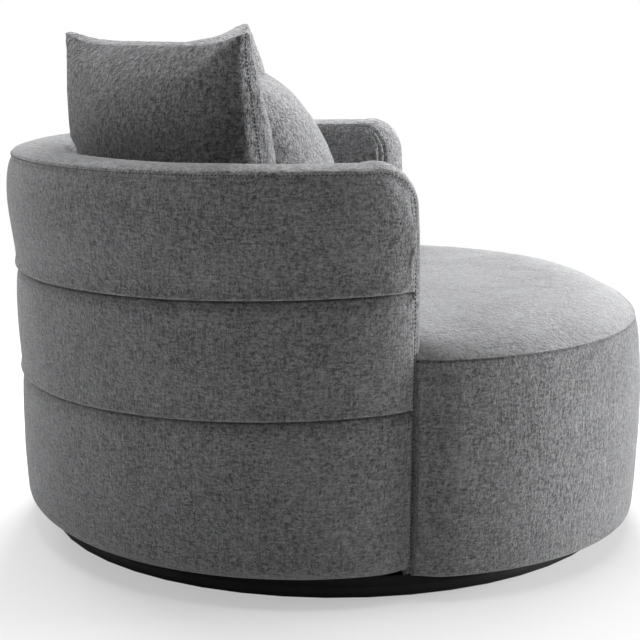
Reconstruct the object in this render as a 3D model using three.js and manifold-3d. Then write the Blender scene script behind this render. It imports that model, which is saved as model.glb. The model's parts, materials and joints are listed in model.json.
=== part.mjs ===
// A large round swivel chair for one or two people. A drum seat turns on a round plinth, a curved wall in
// three padded bands forms the back and both arms, and three loose cushions stand inside it.
// Millimetres, +Z up. The origin is on the floor on the swivel axis, and the seat faces -Y.
// Right and left are those of the person who sits in it, so the right arm is on the -X side.
import * as THREE from 'three';
import { mergeVertices } from 'three/addons/utils/BufferGeometryUtils.js';
import Module from 'manifold-3d';

const wasm = await Module();
wasm.setup();

// Gaps between pieces that touch, and the overrun of every cutter
const FACE_GAP = 0.4;
const RUNNING_GAP = 0.3;
const CUT_OVERRUN = 20;
const POST_GAP = 1.3;
const PLATFORM_GAP = 4;
const SOFT_GAP = 0.2;
const CUSHION_WALL_GAP = 4;

// Plinth and floor glides
const PLINTH_RADIUS = 562;
const PLINTH_BOARD_THICKNESS = 18;
const PLINTH_RECESS_RADIUS = 45;
const GLIDE_COUNT = 6;
const GLIDE_RADIUS = 25;
const GLIDE_HEIGHT = 4;
const GLIDE_CHAMFER = 2;
const GLIDE_EDGE_DISTANCE = 50;

// Swivel bearing
const PLATE_RADIUS = 190;
const PLATE_THICKNESS = 3;
const BALL_COUNT = 12;
const BALL_RADIUS = 4.5;
const BALL_CIRCLE_RADIUS = 150;
const CAGE_WIDTH = 26;
const CAGE_THICKNESS = 1.6;
const PIVOT_RADIUS = 8;
const PIVOT_HEAD_RADIUS = 15;
const PIVOT_HEAD_HEIGHT = 6;
const PIVOT_END_LENGTH = 3;
const PIVOT_END_CHAMFER = 2;
const WASHER_RADIUS = 16;
const WASHER_THICKNESS = 2;
const NUT_SIDES = 6;
const NUT_RADIUS = 13;
const NUT_HEIGHT = 8;
const NUT_HOLE_RADIUS = 30;
const SCREW_COUNT = 4;
const SCREW_RADIUS = 2.5;
const SCREW_LENGTH = 14;
const SCREW_HEAD_RADIUS = 5;
const SCREW_HEAD_HEIGHT = 2.6;
const LOWER_SCREW_CIRCLE_RADIUS = 175;
const UPPER_SCREW_CIRCLE_RADIUS = 118;

// Wall of the back and arms. Its outside is part of an ellipse, drawn in a little towards the floor.
const TOP_SEAM_HEIGHT = 729;
const BAND_HEIGHT = 200;
const TOP_SEAM_FALL_SHARE = 0.01;
const UPPER_SEAM_FALL_SHARE = 0.031;
const LOWER_SEAM_FALL_SHARE = 0.034;
const BACK_HALF_WIDTH = 628;
const BACK_HALF_DEPTH = 560;
const BACK_CENTRE_DISTANCE = 60;
const BACK_DRAW_IN = 12;
const ARM_REACH = 140;
const ARM_CORNER_RADIUS = 65;
const WALL_THICKNESS = 120;
const WALL_STEPS = 30;
const ARM_CORNER_STEPS = 5;

// Upholstery and frame inside the wall
const OUTER_PAD_THICKNESS = 28;
const INNER_PAD_THICKNESS = 43;
const SHELL_THICKNESS = 8;
const UPPER_BAND_BULGE = 12;
const MIDDLE_BAND_BULGE = 4;
const LOWER_BAND_BULGE = 3;
const UPPER_BULGE_SKEW_SHARE = 1.5;
const INNER_PAD_SOFTENING = 8;
const RIM_EDGE_THICKNESS = 3;
const RIM_CROWN = 8;
const ARM_FRONT_CROWN = 22;
const RIM_RAIL_THICKNESS = 28;
const POST_WIDTH = 40;
const POST_COUNT = 5;
const POST_SPREAD_SHARE = 0.8;

// Drum seat
const SEAT_SIDE_INSET = 36;
const SEAT_HALF_DEPTH = 594;
const SEAT_SQUARENESS_SHARE = 2.3;
const SEAT_SEAM_HEIGHT = 419;
const SEAT_BULGE = 11;
const SEAT_EDGE_THICKNESS = 4;
const SEAT_CROWN = 36;
const SEAT_CROWN_RISE_POWER = 4;
const SEAT_CROWN_EDGE_POWER = 0.5;
const SEAT_RING_SHARES = [1, 0.985, 0.955, 0.9, 0.8, 0.62, 0.36, 0.1];
const SEAT_STEPS = 48;
const SKIRT_CLEARANCE = 5;
const SEAT_SKIRT_RADIUS = 8;
const BACK_SKIRT_RADIUS = 32;
const SKIRT_LIP_WIDTH = 80;
const PLATFORM_THICKNESS = 18;
const DECK_HEIGHT = 300;
const FRAME_SIDES = 6;
const FRAME_WALL_GAP = 28;
const FRAME_BOARD_THICKNESS = 18;
const WEB_COUNT = 5;
const WEB_WIDTH = 70;
const WEB_THICKNESS = 2;
const WEB_SPACING = 150;

// Loose cushions. Each stands on the seat, tipped back by its lean, shifted along its own width and turned
// by its facing angle. It is a little wider at its foot than at its top.
const BACK_CUSHION_WIDTH = 508;
const BACK_CUSHION_HEIGHT = 497;
const BACK_CUSHION_THICKNESS = 178;
const BACK_CUSHION_LEAN = THREE.MathUtils.degToRad(9);
const BACK_CUSHION_FULLNESS_SHARE = 0.47;
const RIGHT_CUSHION_FACING = THREE.MathUtils.degToRad(48);
const RIGHT_CUSHION_SHIFT = 66;
const LEFT_CUSHION_FACING = THREE.MathUtils.degToRad(-36);
const LEFT_CUSHION_SHIFT = 40;
const CENTRE_CUSHION_WIDTH = 470;
const CENTRE_CUSHION_HEIGHT = 441;
const CENTRE_CUSHION_THICKNESS = 172;
const CENTRE_CUSHION_LEAN = THREE.MathUtils.degToRad(19.5);
const CENTRE_CUSHION_FULLNESS_SHARE = 0.57;
const CENTRE_CUSHION_PLACE = 0;
const CUSHION_DRAW_IN = 12;
const CUSHION_SPREAD_SHARE = 0.05;
const CUSHION_EDGE_THICKNESS = 3;
const CUSHION_STEPS = 14;

// How finely curved faces are divided
const FINE_STEPS = 48;
const COARSE_STEPS = 20;
const SCREW_STEPS = 10;
const BALL_STEPS = 8;
const BULGE_STEPS = 4;
const SKIRT_STEPS = 3;
const STRIP_STEPS = 6;

// Heights of the stack, from the floor up
const lowerBoardBottom = GLIDE_HEIGHT + FACE_GAP;
const lowerBoardTop = lowerBoardBottom + PLINTH_BOARD_THICKNESS;
const upperBoardBottom = lowerBoardTop + FACE_GAP;
const plinthTop = upperBoardBottom + PLINTH_BOARD_THICKNESS;
const lowerPlateBottom = plinthTop + FACE_GAP;
const lowerPlateTop = lowerPlateBottom + PLATE_THICKNESS;
const ballCentreHeight = lowerPlateTop + RUNNING_GAP + BALL_RADIUS;
const upperPlateBottom = ballCentreHeight + BALL_RADIUS + RUNNING_GAP;
const upperPlateTop = upperPlateBottom + PLATE_THICKNESS;
const platformBottom = upperPlateTop + FACE_GAP;
const platformTop = platformBottom + PLATFORM_THICKNESS;
const skirtBottom = plinthTop + SKIRT_CLEARANCE;
const frameBottom = platformTop + FACE_GAP;
const webTop = DECK_HEIGHT + FACE_GAP + WEB_THICKNESS;
const foamBottom = webTop + FACE_GAP;

// Seams of the wall, measured where its depth is zero
const upperSeamHeight = TOP_SEAM_HEIGHT - BAND_HEIGHT;
const lowerSeamHeight = upperSeamHeight - BAND_HEIGHT;

// Distances in from the outside of the wall
const shellOuter = OUTER_PAD_THICKNESS + FACE_GAP;
const shellInner = shellOuter + SHELL_THICKNESS;
const platformInset = OUTER_PAD_THICKNESS + PLATFORM_GAP;
const postOuter = shellInner + POST_GAP;
const liningOuter = WALL_THICKNESS - INNER_PAD_THICKNESS;
const postInner = liningOuter - FACE_GAP;
const rimWidth = WALL_THICKNESS - INNER_PAD_SOFTENING;

// Plan of the drum: as wide as the wall less an inset, and behind it ends inside the outer pad of the wall
const seatHalfWidth = BACK_HALF_WIDTH - SEAT_SIDE_INSET;
const seatBackDepth = BACK_CENTRE_DISTANCE + BACK_HALF_DEPTH - BACK_DRAW_IN - OUTER_PAD_THICKNESS;

// Half the distance across the flats of the seat frame, which clears the posts, the back and the front hoop
const frameHalfWidth = BACK_HALF_WIDTH - BACK_DRAW_IN - postInner - FRAME_WALL_GAP;
const frameBackDepth = BACK_CENTRE_DISTANCE + BACK_HALF_DEPTH - BACK_DRAW_IN - postInner - FRAME_WALL_GAP;
const frameFrontDepth = SEAT_HALF_DEPTH - shellInner - FRAME_WALL_GAP;
const frameSideRoom = frameHalfWidth * Math.cos(Math.PI / FRAME_SIDES);
const frameApothem = Math.min(frameSideRoom, frameBackDepth, frameFrontDepth);

// Materials

const material = (color, roughness, metalness = 0) =>
  new THREE.MeshStandardMaterial({ color, roughness, metalness });
const FABRIC = material(0x77787a, 0.95);
const FOAM = material(0xd9cfae, 0.95);
const PLYWOOD = material(0xb08a5b, 0.7);
const BLACK_BOARD = material(0x0d0d0d, 0.6);
const STEEL = material(0x9a9ca0, 0.35, 1);
const NYLON = material(0x1c1c1d, 0.55);
const WEBBING = material(0x2b2a28, 0.9);

// Solids from rings of points

const mix = THREE.MathUtils.lerp;

function capTriangles(outline) {
  const forward = THREE.ShapeUtils.area(outline) > 0;
  return THREE.ShapeUtils.triangulateShape(outline, []).map(([a, b, c]) => {
    const area = THREE.ShapeUtils.area([outline[a], outline[b], outline[c]]);
    return area > 0 === forward ? [a, b, c] : [a, c, b];
  });
}

function signedVolume(points, faces) {
  return faces.reduce((sum, [a, b, c]) => {
    const cross = new THREE.Vector3().crossVectors(points[b], points[c]);
    return sum + points[a].dot(cross);
  }, 0);
}

// Joins rings of equal length into one closed solid. A closed loop of rings needs no caps; otherwise each
// cap is a function that lists the triangles that close the first or the last ring.
function loft(rings, firstCap = null, lastCap = firstCap) {
  const count = rings[0].length;
  const points = rings.flat();
  const faces = [];
  const links = firstCap ? rings.length - 1 : rings.length;
  for (let ring = 0; ring < links; ring += 1) {
    const here = ring * count;
    const there = ((ring + 1) % rings.length) * count;
    for (let step = 0; step < count; step += 1) {
      const next = (step + 1) % count;
      faces.push([here + step, here + next, there + next]);
      faces.push([here + step, there + next, there + step]);
    }
  }
  if (firstCap) {
    const last = (rings.length - 1) * count;
    firstCap(rings[0]).forEach(([a, b, c]) => faces.push([a, c, b]));
    lastCap(rings.at(-1)).forEach(([a, b, c]) => faces.push([last + a, last + b, last + c]));
  }
  const outward = signedVolume(points, faces) > 0;
  const geometry = new THREE.BufferGeometry();
  geometry.setAttribute('position', new THREE.Float32BufferAttribute(points.flatMap((p) => p.toArray()), 3));
  geometry.setIndex(faces.flatMap(([a, b, c]) => (outward ? [a, b, c] : [a, c, b])));
  return geometry;
}

// Closes a ring that is seen from above
const planCap = (ring) => capTriangles(ring.map((point) => new THREE.Vector2(point.x, point.y)));

// Closes a ring whose second half runs back along its first half
function pairedCap(ring) {
  const last = ring.length - 1;
  return Array.from({ length: ring.length / 2 - 1 }, (_, step) => [
    [step, step + 1, last - step - 1],
    [step, last - step - 1, last - step],
  ]).flat();
}

const circle = (count, point) =>
  Array.from({ length: count }, (_, step) => point((step * 2 * Math.PI) / count));

// Cuts and joins

function toSolid(geometry) {
  const bare = geometry.clone();
  bare.deleteAttribute('normal');
  bare.deleteAttribute('uv');
  const merged = mergeVertices(bare);
  const vertProperties = new Float32Array(merged.attributes.position.array);
  const triVerts = new Uint32Array(merged.index.array);
  return new wasm.Manifold(new wasm.Mesh({ numProp: 3, vertProperties, triVerts }));
}

function toGeometry(solid) {
  const { vertProperties, triVerts } = solid.getMesh();
  const geometry = new THREE.BufferGeometry();
  geometry.setAttribute('position', new THREE.BufferAttribute(new Float32Array(vertProperties), 3));
  geometry.setIndex(new THREE.BufferAttribute(new Uint32Array(triVerts), 1));
  return geometry;
}

function cut(geometry, ...cutters) {
  return toGeometry(cutters.reduce((solid, cutter) => solid.subtract(toSolid(cutter)), toSolid(geometry)));
}

function join(geometry, ...others) {
  return toGeometry(others.reduce((solid, other) => solid.add(toSolid(other)), toSolid(geometry)));
}

// Round pieces about the swivel axis

function turned(profile, steps = FINE_STEPS) {
  return new THREE.LatheGeometry(profile.map(([radius, z]) => new THREE.Vector2(radius, z)), steps)
    .rotateX(Math.PI / 2);
}

function disc(radius, bottom, top, steps = FINE_STEPS) {
  return turned([[0, bottom], [radius, bottom], [radius, top], [0, top]], steps);
}

function washer(inner, outer, bottom, top, steps = FINE_STEPS) {
  return turned([[inner, bottom], [outer, bottom], [outer, top], [inner, top], [inner, bottom]], steps);
}

const group = new THREE.Group();

function place(name, geometry, look) {
  const mesh = new THREE.Mesh(geometry, look);
  mesh.name = name;
  group.add(mesh);
  return mesh;
}

// Places on the wall and the drum

// How far the wall is drawn in at a height
const drawInAt = (z) => BACK_DRAW_IN * (TOP_SEAM_HEIGHT - z) / (TOP_SEAM_HEIGHT - skirtBottom);

// A point of the wall. Angle zero is the middle of the back, and inward is measured from the outside.
function wallPointAtAngle(angle, z, inward, ahead = 0) {
  const depth = inward + drawInAt(z);
  const normal = new THREE.Vector2(Math.sin(angle) / BACK_HALF_WIDTH, Math.cos(angle) / BACK_HALF_DEPTH);
  normal.normalize();
  const forward = Math.sign(angle) * ahead;
  const x = BACK_HALF_WIDTH * Math.sin(angle) - normal.x * depth + normal.y * forward;
  const y = BACK_CENTRE_DISTANCE + BACK_HALF_DEPTH * Math.cos(angle) - normal.y * depth - normal.x * forward;
  return new THREE.Vector3(x, y, z);
}

// A station is a place along the wall: along runs from -1 at the right arm's end to 1 at the left arm's,
// distance is how far it is from the nearer end, and ahead is how far it is in front of that end.
const endAngle = Math.acos(-(ARM_REACH + BACK_CENTRE_DISTANCE) / BACK_HALF_DEPTH);
const wallPoint = (station, z, inward) =>
  wallPointAtAngle(station.along * endAngle, z, inward, station.ahead);

const halfLength = (() => {
  const places = Array.from({ length: WALL_STEPS + 1 }, (_, step) =>
    wallPoint({ along: step / WALL_STEPS, ahead: 0 }, TOP_SEAM_HEIGHT, 0));
  return places.slice(1).reduce((sum, point, step) => sum + point.distanceTo(places[step]), 0);
})();

function stationAt(side, distance) {
  const behind = Math.max(distance, 0);
  const ahead = Math.max(-distance, 0);
  return { along: side * (1 - behind / halfLength), ahead, distance: behind };
}

// Angles round the front corner of an arm, from its front to its top
const cornerAngles = Array.from({ length: ARM_CORNER_STEPS }, (_, step) =>
  (Math.PI / 2) * (1 - step / ARM_CORNER_STEPS));
const cornerStations = (side) =>
  cornerAngles.map((angle) => stationAt(side, ARM_CORNER_RADIUS * (1 - Math.sin(angle))));

function longStations(endDistance = ARM_CORNER_RADIUS) {
  const reach = 1 - endDistance / halfLength;
  return Array.from({ length: WALL_STEPS + 1 }, (_, step) => {
    const along = reach * (2 * step / WALL_STEPS - 1);
    return { along, ahead: 0, distance: (1 - Math.abs(along)) * halfLength };
  });
}

const wallStations = [...cornerStations(-1), ...longStations(), ...cornerStations(1).reverse()];

const stationDepth = (station) => wallPoint(station, TOP_SEAM_HEIGHT, 0).y;
const seamHeight = (height, fallShare, station) => height - fallShare * stationDepth(station);
const lowerSeam = (station) => seamHeight(lowerSeamHeight, LOWER_SEAM_FALL_SHARE, station);
const upperSeam = (station) => seamHeight(upperSeamHeight, UPPER_SEAM_FALL_SHARE, station);

// The top edge of the wall runs level and rounds down over the front corner of each arm.
function topEdge(station) {
  const short = Math.max(ARM_CORNER_RADIUS - station.distance, 0);
  const drop = ARM_CORNER_RADIUS - Math.sqrt(ARM_CORNER_RADIUS ** 2 - short ** 2);
  return seamHeight(TOP_SEAM_HEIGHT, TOP_SEAM_FALL_SHARE, station) - drop;
}

const sectionCap = (section) => () =>
  capTriangles(section.map(([across, up]) => new THREE.Vector2(across, up)));

// Sweeps a section along stations of the wall. The section gives points of inward distance and height.
function wallSweep(section, stations = wallStations) {
  const rings = stations.map((station) =>
    section(station).map(([inward, z]) => wallPoint(station, z, inward)));
  return loft(rings, sectionCap(section(stations[0])), sectionCap(section(stations.at(-1))));
}

// A point of the drum's side. Angle zero is the middle of the front.
function drumPoint(angle, z, inward, share = 1) {
  const round = (value) => Math.sign(value) * Math.abs(value) ** (2 / SEAT_SQUARENESS_SHARE);
  const depth = Math.cos(angle) > 0 ? SEAT_HALF_DEPTH : seatBackDepth;
  const x = share * (seatHalfWidth - inward) * round(Math.sin(angle));
  const y = -share * (depth - inward) * round(Math.cos(angle));
  return new THREE.Vector3(x, y, z);
}

const drumRing = (z, inward, share = 1) => circle(SEAT_STEPS, (angle) => drumPoint(angle, z, inward, share));
const drumBlock = (inward, bottom, top) => loft([drumRing(bottom, inward), drumRing(top, inward)], planCap);
const drumSweep = (section) =>
  loft(circle(SEAT_STEPS, (angle) => section.map(([inward, z]) => drumPoint(angle, z, inward))));

// What the wall, or a layer of it from the outside in, takes out of the pieces that it meets
const frontReach = FACE_GAP + RIM_EDGE_THICKNESS + ARM_FRONT_CROWN + FACE_GAP;
const layerCutter = (depth) => wallSweep(
  () => [
    [-CUT_OVERRUN, 0],
    [depth, 0],
    [depth, TOP_SEAM_HEIGHT],
    [-CUT_OVERRUN, TOP_SEAM_HEIGHT],
  ],
  [stationAt(-1, -frontReach), ...wallStations, stationAt(1, -frontReach)],
);
const wallCutter = layerCutter(WALL_THICKNESS + FACE_GAP);

// The wall with all that it holds between its arms, which the pieces in front of the arms stay clear of
const enclosedCutter = (() => {
  const stations = [stationAt(-1, -frontReach), ...wallStations, stationAt(1, -frontReach)];
  const innerCorners = [stationAt(1, -frontReach), stationAt(-1, -frontReach)];
  const plan = (z) => [
    ...stations.map((station) => wallPoint(station, z, -CUT_OVERRUN)),
    ...innerCorners.map((station) => wallPoint(station, z, WALL_THICKNESS + FACE_GAP)),
  ];
  return loft([plan(0), plan(TOP_SEAM_HEIGHT)], planCap);
})();

// Plinth, from the floor up

function glide(x, y) {
  const profile = [
    [0, 0],
    [GLIDE_RADIUS - GLIDE_CHAMFER, 0],
    [GLIDE_RADIUS, GLIDE_CHAMFER],
    [GLIDE_RADIUS, GLIDE_HEIGHT],
    [0, GLIDE_HEIGHT],
  ];
  return turned(profile, COARSE_STEPS).translate(x, y, 0);
}

function addGlides() {
  const circleRadius = PLINTH_RADIUS - GLIDE_EDGE_DISTANCE;
  circle(GLIDE_COUNT, (angle) => [circleRadius * Math.cos(angle), circleRadius * Math.sin(angle)])
    .forEach(([x, y], index) => place(`floor_glide_${index + 1}`, glide(x, y), NYLON));
  place('centre_floor_glide', glide(0, 0), NYLON);
}

const aroundAxis = (count, radius, offset = 0) =>
  circle(count, (angle) => [radius * Math.cos(angle + offset), radius * Math.sin(angle + offset)]);
const screwTurn = Math.PI / SCREW_COUNT;
const lowerScrewPlaces = aroundAxis(SCREW_COUNT, LOWER_SCREW_CIRCLE_RADIUS, screwTurn);
const upperScrewPlaces = aroundAxis(SCREW_COUNT, UPPER_SCREW_CIRCLE_RADIUS, screwTurn);

// A pan-head screw whose head rests on height zero and whose shank points down
function screw() {
  const headShoulder = SCREW_HEAD_HEIGHT / 2;
  return turned([
    [0, -SCREW_LENGTH],
    [SCREW_RADIUS, -SCREW_LENGTH + SCREW_RADIUS],
    [SCREW_RADIUS, 0],
    [SCREW_HEAD_RADIUS, 0],
    [SCREW_HEAD_RADIUS, headShoulder],
    [SCREW_HEAD_RADIUS - headShoulder, SCREW_HEAD_HEIGHT],
    [0, SCREW_HEAD_HEIGHT],
  ], SCREW_STEPS);
}

const holeRadius = SCREW_RADIUS / Math.cos(Math.PI / SCREW_STEPS) + RUNNING_GAP;

function screwHoles(places, bottom, top) {
  return places.map(([x, y]) => disc(holeRadius, bottom, top, SCREW_STEPS).translate(x, y, 0));
}

function addPlinth() {
  const lowerBoard = disc(PLINTH_RADIUS, lowerBoardBottom, lowerBoardTop);
  place('plinth_lower_board', lowerBoard, BLACK_BOARD);
  const screwEnd = lowerPlateTop - SCREW_LENGTH - FACE_GAP;
  const upperBoard = washer(PLINTH_RECESS_RADIUS, PLINTH_RADIUS, upperBoardBottom, plinthTop);
  const holes = screwHoles(lowerScrewPlaces, screwEnd, plinthTop + CUT_OVERRUN);
  place('plinth_upper_board', cut(upperBoard, ...holes), BLACK_BOARD);
}

// Swivel bearing

function swivelPlate(bottom, screwPlaces) {
  const plate = washer(PIVOT_RADIUS + RUNNING_GAP, PLATE_RADIUS, bottom, bottom + PLATE_THICKNESS);
  const holes = screwHoles(screwPlaces, bottom - CUT_OVERRUN, bottom + PLATE_THICKNESS + CUT_OVERRUN);
  return cut(plate, ...holes);
}

function ballCage() {
  const halfWidth = CAGE_WIDTH / 2;
  const halfThickness = CAGE_THICKNESS / 2;
  const ring = washer(
    BALL_CIRCLE_RADIUS - halfWidth,
    BALL_CIRCLE_RADIUS + halfWidth,
    ballCentreHeight - halfThickness,
    ballCentreHeight + halfThickness,
  );
  const balls = aroundAxis(BALL_COUNT, BALL_CIRCLE_RADIUS).map(([x, y]) =>
    new THREE.SphereGeometry(BALL_RADIUS, BALL_STEPS, BALL_STEPS / 2).translate(x, y, ballCentreHeight));
  return join(ring, ...balls);
}

function pivotBolt() {
  const headTop = lowerPlateBottom - FACE_GAP;
  const headBottom = headTop - PIVOT_HEAD_HEIGHT;
  const end = upperPlateTop + WASHER_THICKNESS + NUT_HEIGHT + PIVOT_END_LENGTH;
  const profile = [
    [0, headBottom],
    [PIVOT_HEAD_RADIUS, headBottom],
    [PIVOT_HEAD_RADIUS, headTop],
    [PIVOT_RADIUS, headTop],
    [PIVOT_RADIUS, end - PIVOT_END_CHAMFER],
    [PIVOT_RADIUS - PIVOT_END_CHAMFER, end],
    [0, end],
  ];
  return turned(profile);
}

function addBearing() {
  place('swivel_lower_plate', swivelPlate(lowerPlateBottom, lowerScrewPlaces), STEEL);
  lowerScrewPlaces.forEach(([x, y], index) => {
    const height = lowerPlateTop + RUNNING_GAP;
    place(`lower_plate_screw_${index + 1}`, screw().translate(x, y, height), STEEL);
  });
  place('ball_cage', ballCage(), STEEL);
  place('swivel_upper_plate', swivelPlate(upperPlateBottom, upperScrewPlaces), STEEL);
  upperScrewPlaces.forEach(([x, y], index) => {
    const height = upperPlateBottom - RUNNING_GAP;
    place(`upper_plate_screw_${index + 1}`, screw().rotateX(Math.PI).translate(x, y, height), STEEL);
  });
  place('pivot_bolt', pivotBolt(), STEEL);
  const washerBottom = upperPlateTop + RUNNING_GAP;
  const washerTop = washerBottom + WASHER_THICKNESS;
  const bore = PIVOT_RADIUS + RUNNING_GAP;
  place('pivot_washer', washer(bore, WASHER_RADIUS, washerBottom, washerTop), STEEL);
  const nutBottom = washerTop + RUNNING_GAP;
  place('pivot_nut', pivotNut(bore, nutBottom), STEEL);
}

function pivotNut(bore, bottom) {
  const body = disc(NUT_RADIUS, bottom, bottom + NUT_HEIGHT, NUT_SIDES);
  return cut(body, disc(bore, bottom - CUT_OVERRUN, bottom + NUT_HEIGHT + CUT_OVERRUN));
}

// Platform board, as wide as the drum in front and as the wall behind

function platformBoard() {
  const under = (z) => circle(SEAT_STEPS, (angle) => wallPointAtAngle(angle - Math.PI, z, platformInset));
  const behind = loft([under(platformBottom), under(platformTop)], planCap);
  const cutterDepth = 2 * SEAT_HALF_DEPTH;
  const front = new THREE.BoxGeometry(2 * cutterDepth, cutterDepth, 2 * cutterDepth)
    .translate(0, -ARM_REACH - cutterDepth / 2, 0);
  const screwEnd = upperPlateBottom + SCREW_LENGTH + FACE_GAP;
  const holes = screwHoles(upperScrewPlaces, platformBottom - CUT_OVERRUN, screwEnd);
  const nutHole = disc(NUT_HOLE_RADIUS, platformBottom - CUT_OVERRUN, platformTop + CUT_OVERRUN);
  const board = join(cut(behind, front), drumBlock(platformInset, platformBottom, platformTop));
  return cut(board, layerCutter(platformInset), nutHole, ...holes);
}

// Hexagonal frame under the seat, with webbing across it

function framePanel(angle) {
  const side = 2 * (frameApothem - FRAME_BOARD_THICKNESS) * Math.tan(Math.PI / FRAME_SIDES) - 2 * FACE_GAP;
  const height = DECK_HEIGHT - frameBottom;
  return new THREE.BoxGeometry(side, FRAME_BOARD_THICKNESS, height)
    .translate(0, frameApothem - FRAME_BOARD_THICKNESS / 2, frameBottom + height / 2)
    .rotateZ(angle);
}

function webStrap(x) {
  const cornerReach = frameApothem / Math.cos(Math.PI / FRAME_SIDES);
  const edge = Math.abs(x) + WEB_WIDTH / 2;
  const reach = Math.min(frameApothem, (cornerReach - edge) * Math.tan(2 * Math.PI / FRAME_SIDES));
  return new THREE.BoxGeometry(WEB_WIDTH, 2 * reach, WEB_THICKNESS)
    .translate(x, 0, webTop - WEB_THICKNESS / 2);
}

function addSeatFrame() {
  circle(FRAME_SIDES, (angle) => angle)
    .forEach((angle, index) => place(`seat_frame_panel_${index + 1}`, framePanel(angle), PLYWOOD));
  for (let strap = 0; strap < WEB_COUNT; strap += 1) {
    const x = (strap - (WEB_COUNT - 1) / 2) * WEB_SPACING;
    place(`seat_webbing_${strap + 1}`, webStrap(x), WEBBING);
  }
  const hoop = drumSweep([
    [shellOuter, frameBottom],
    [shellOuter, DECK_HEIGHT],
    [shellInner, DECK_HEIGHT],
    [shellInner, frameBottom],
  ]);
  place('front_hoop', cut(hoop, enclosedCutter), PLYWOOD);
}

// Upholstered sides: a bulging face from the seam at the top down to a rounded edge, and a lip that is
// tucked under the platform. Returns points of inward distance and height.

function bulgingFace(bottom, top, bulge, skewShare = 1) {
  return Array.from({ length: BULGE_STEPS + 1 }, (_, step) => {
    const share = step / BULGE_STEPS;
    return [-bulge * Math.sin(Math.PI * share ** skewShare), mix(bottom, top, share)];
  });
}

function skirtedSection(top, bulge, radius) {
  const roundingTop = skirtBottom + radius;
  const rounding = Array.from({ length: SKIRT_STEPS }, (_, step) => {
    const angle = (Math.PI / 2) * (step / SKIRT_STEPS);
    return [radius * (1 - Math.sin(angle)), skirtBottom + radius * (1 - Math.cos(angle))];
  });
  return [
    ...rounding,
    ...bulgingFace(roundingTop, top, bulge),
    [OUTER_PAD_THICKNESS, top],
    [OUTER_PAD_THICKNESS, platformBottom - FACE_GAP],
    [SKIRT_LIP_WIDTH, platformBottom - FACE_GAP],
    [SKIRT_LIP_WIDTH, skirtBottom],
  ];
}

// Seat

function addSeat() {
  const sideTop = SEAT_SEAM_HEIGHT - FACE_GAP;
  const border = cut(drumSweep(skirtedSection(sideTop, SEAT_BULGE, SEAT_SKIRT_RADIUS)), enclosedCutter);
  place('seat_border', border, FABRIC);
  place('seat_foam', cut(drumBlock(shellOuter, foamBottom, sideTop), wallCutter), FOAM);
  place('seat_top', cut(seatTop(), wallCutter), FABRIC);
}

const seatCrownAt = (share) => SEAT_CROWN * (1 - share ** SEAT_CROWN_RISE_POWER) ** SEAT_CROWN_EDGE_POWER;

function seatTop() {
  const rings = SEAT_RING_SHARES.map((share) => {
    return drumRing(SEAT_SEAM_HEIGHT + SEAT_EDGE_THICKNESS + seatCrownAt(share), 0, share);
  });
  return loft([drumRing(SEAT_SEAM_HEIGHT, 0), ...rings], planCap);
}

// Height of the seat's surface at a place, and how far out that place is as a share of the drum
function seatHeight(x, y) {
  const squareness = SEAT_SQUARENESS_SHARE;
  const depth = y < 0 ? SEAT_HALF_DEPTH : seatBackDepth;
  const sum = Math.abs(x / seatHalfWidth) ** squareness + Math.abs(y / depth) ** squareness;
  return SEAT_SEAM_HEIGHT + SEAT_EDGE_THICKNESS + seatCrownAt(Math.min(sum ** (1 / squareness), 1));
}

// Wall, from the outside in

function addWall() {
  const lowerBand = (station) =>
    skirtedSection(lowerSeam(station) - FACE_GAP, LOWER_BAND_BULGE, BACK_SKIRT_RADIUS);
  place('lower_back_band', wallSweep(lowerBand), FABRIC);
  place('middle_back_band', wallSweep((station) => [
    ...bulgingFace(lowerSeam(station), upperSeam(station) - FACE_GAP, MIDDLE_BAND_BULGE),
    [OUTER_PAD_THICKNESS, upperSeam(station) - FACE_GAP],
    [OUTER_PAD_THICKNESS, lowerSeam(station)],
  ]), FABRIC);
  place('upper_back_band', wallSweep((station) => [
    ...bulgingFace(upperSeam(station), topEdge(station), UPPER_BAND_BULGE, UPPER_BULGE_SKEW_SHARE),
    [OUTER_PAD_THICKNESS, topEdge(station)],
    [OUTER_PAD_THICKNESS, upperSeam(station)],
  ]), FABRIC);
  place('back_shell', wallSweep(shellSection), PLYWOOD);
  place('inside_lining', wallSweep(liningSection), FABRIC);
  addWallFrame();
}

function shellSection(station) {
  const heights = [frameBottom, lowerSeam(station), upperSeam(station), topEdge(station)];
  const outer = heights.map((z) => [shellOuter, z]);
  const inner = heights.map((z) => [shellInner, z]).reverse();
  return [...outer, ...inner];
}

function liningSection(station) {
  const top = topEdge(station);
  const soft = top - ARM_CORNER_RADIUS / 2;
  return [
    [liningOuter, foamBottom],
    [WALL_THICKNESS, foamBottom],
    [WALL_THICKNESS, upperSeam(station)],
    [WALL_THICKNESS, soft],
    [rimWidth, top],
    [liningOuter, top],
    [liningOuter, upperSeam(station)],
  ];
}

function addWallFrame() {
  const railBottom = (station) => topEdge(station) - RIM_RAIL_THICKNESS;
  place('rim_rail', wallSweep((station) => [
    [postOuter, railBottom(station)],
    [postOuter, topEdge(station)],
    [postInner, topEdge(station)],
    [postInner, railBottom(station)],
  ], longStations()), PLYWOOD);
  for (let post = 0; post < POST_COUNT; post += 1) {
    const along = POST_SPREAD_SHARE * (2 * post / (POST_COUNT - 1) - 1);
    const half = POST_WIDTH / 2 / halfLength;
    place(`back_post_${post + 1}`, wallPost(along - half, along + half, railBottom), PLYWOOD);
  }
  [['right', -1], ['left', 1]].forEach(([side, sign]) => {
    const inner = sign * (1 - POST_WIDTH / halfLength);
    const top = () => topEdge(stationAt(sign, 0)) - FACE_GAP;
    place(`${side}_arm_post`, wallPost(Math.min(sign, inner), Math.max(sign, inner), top), PLYWOOD);
  });
}

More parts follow.
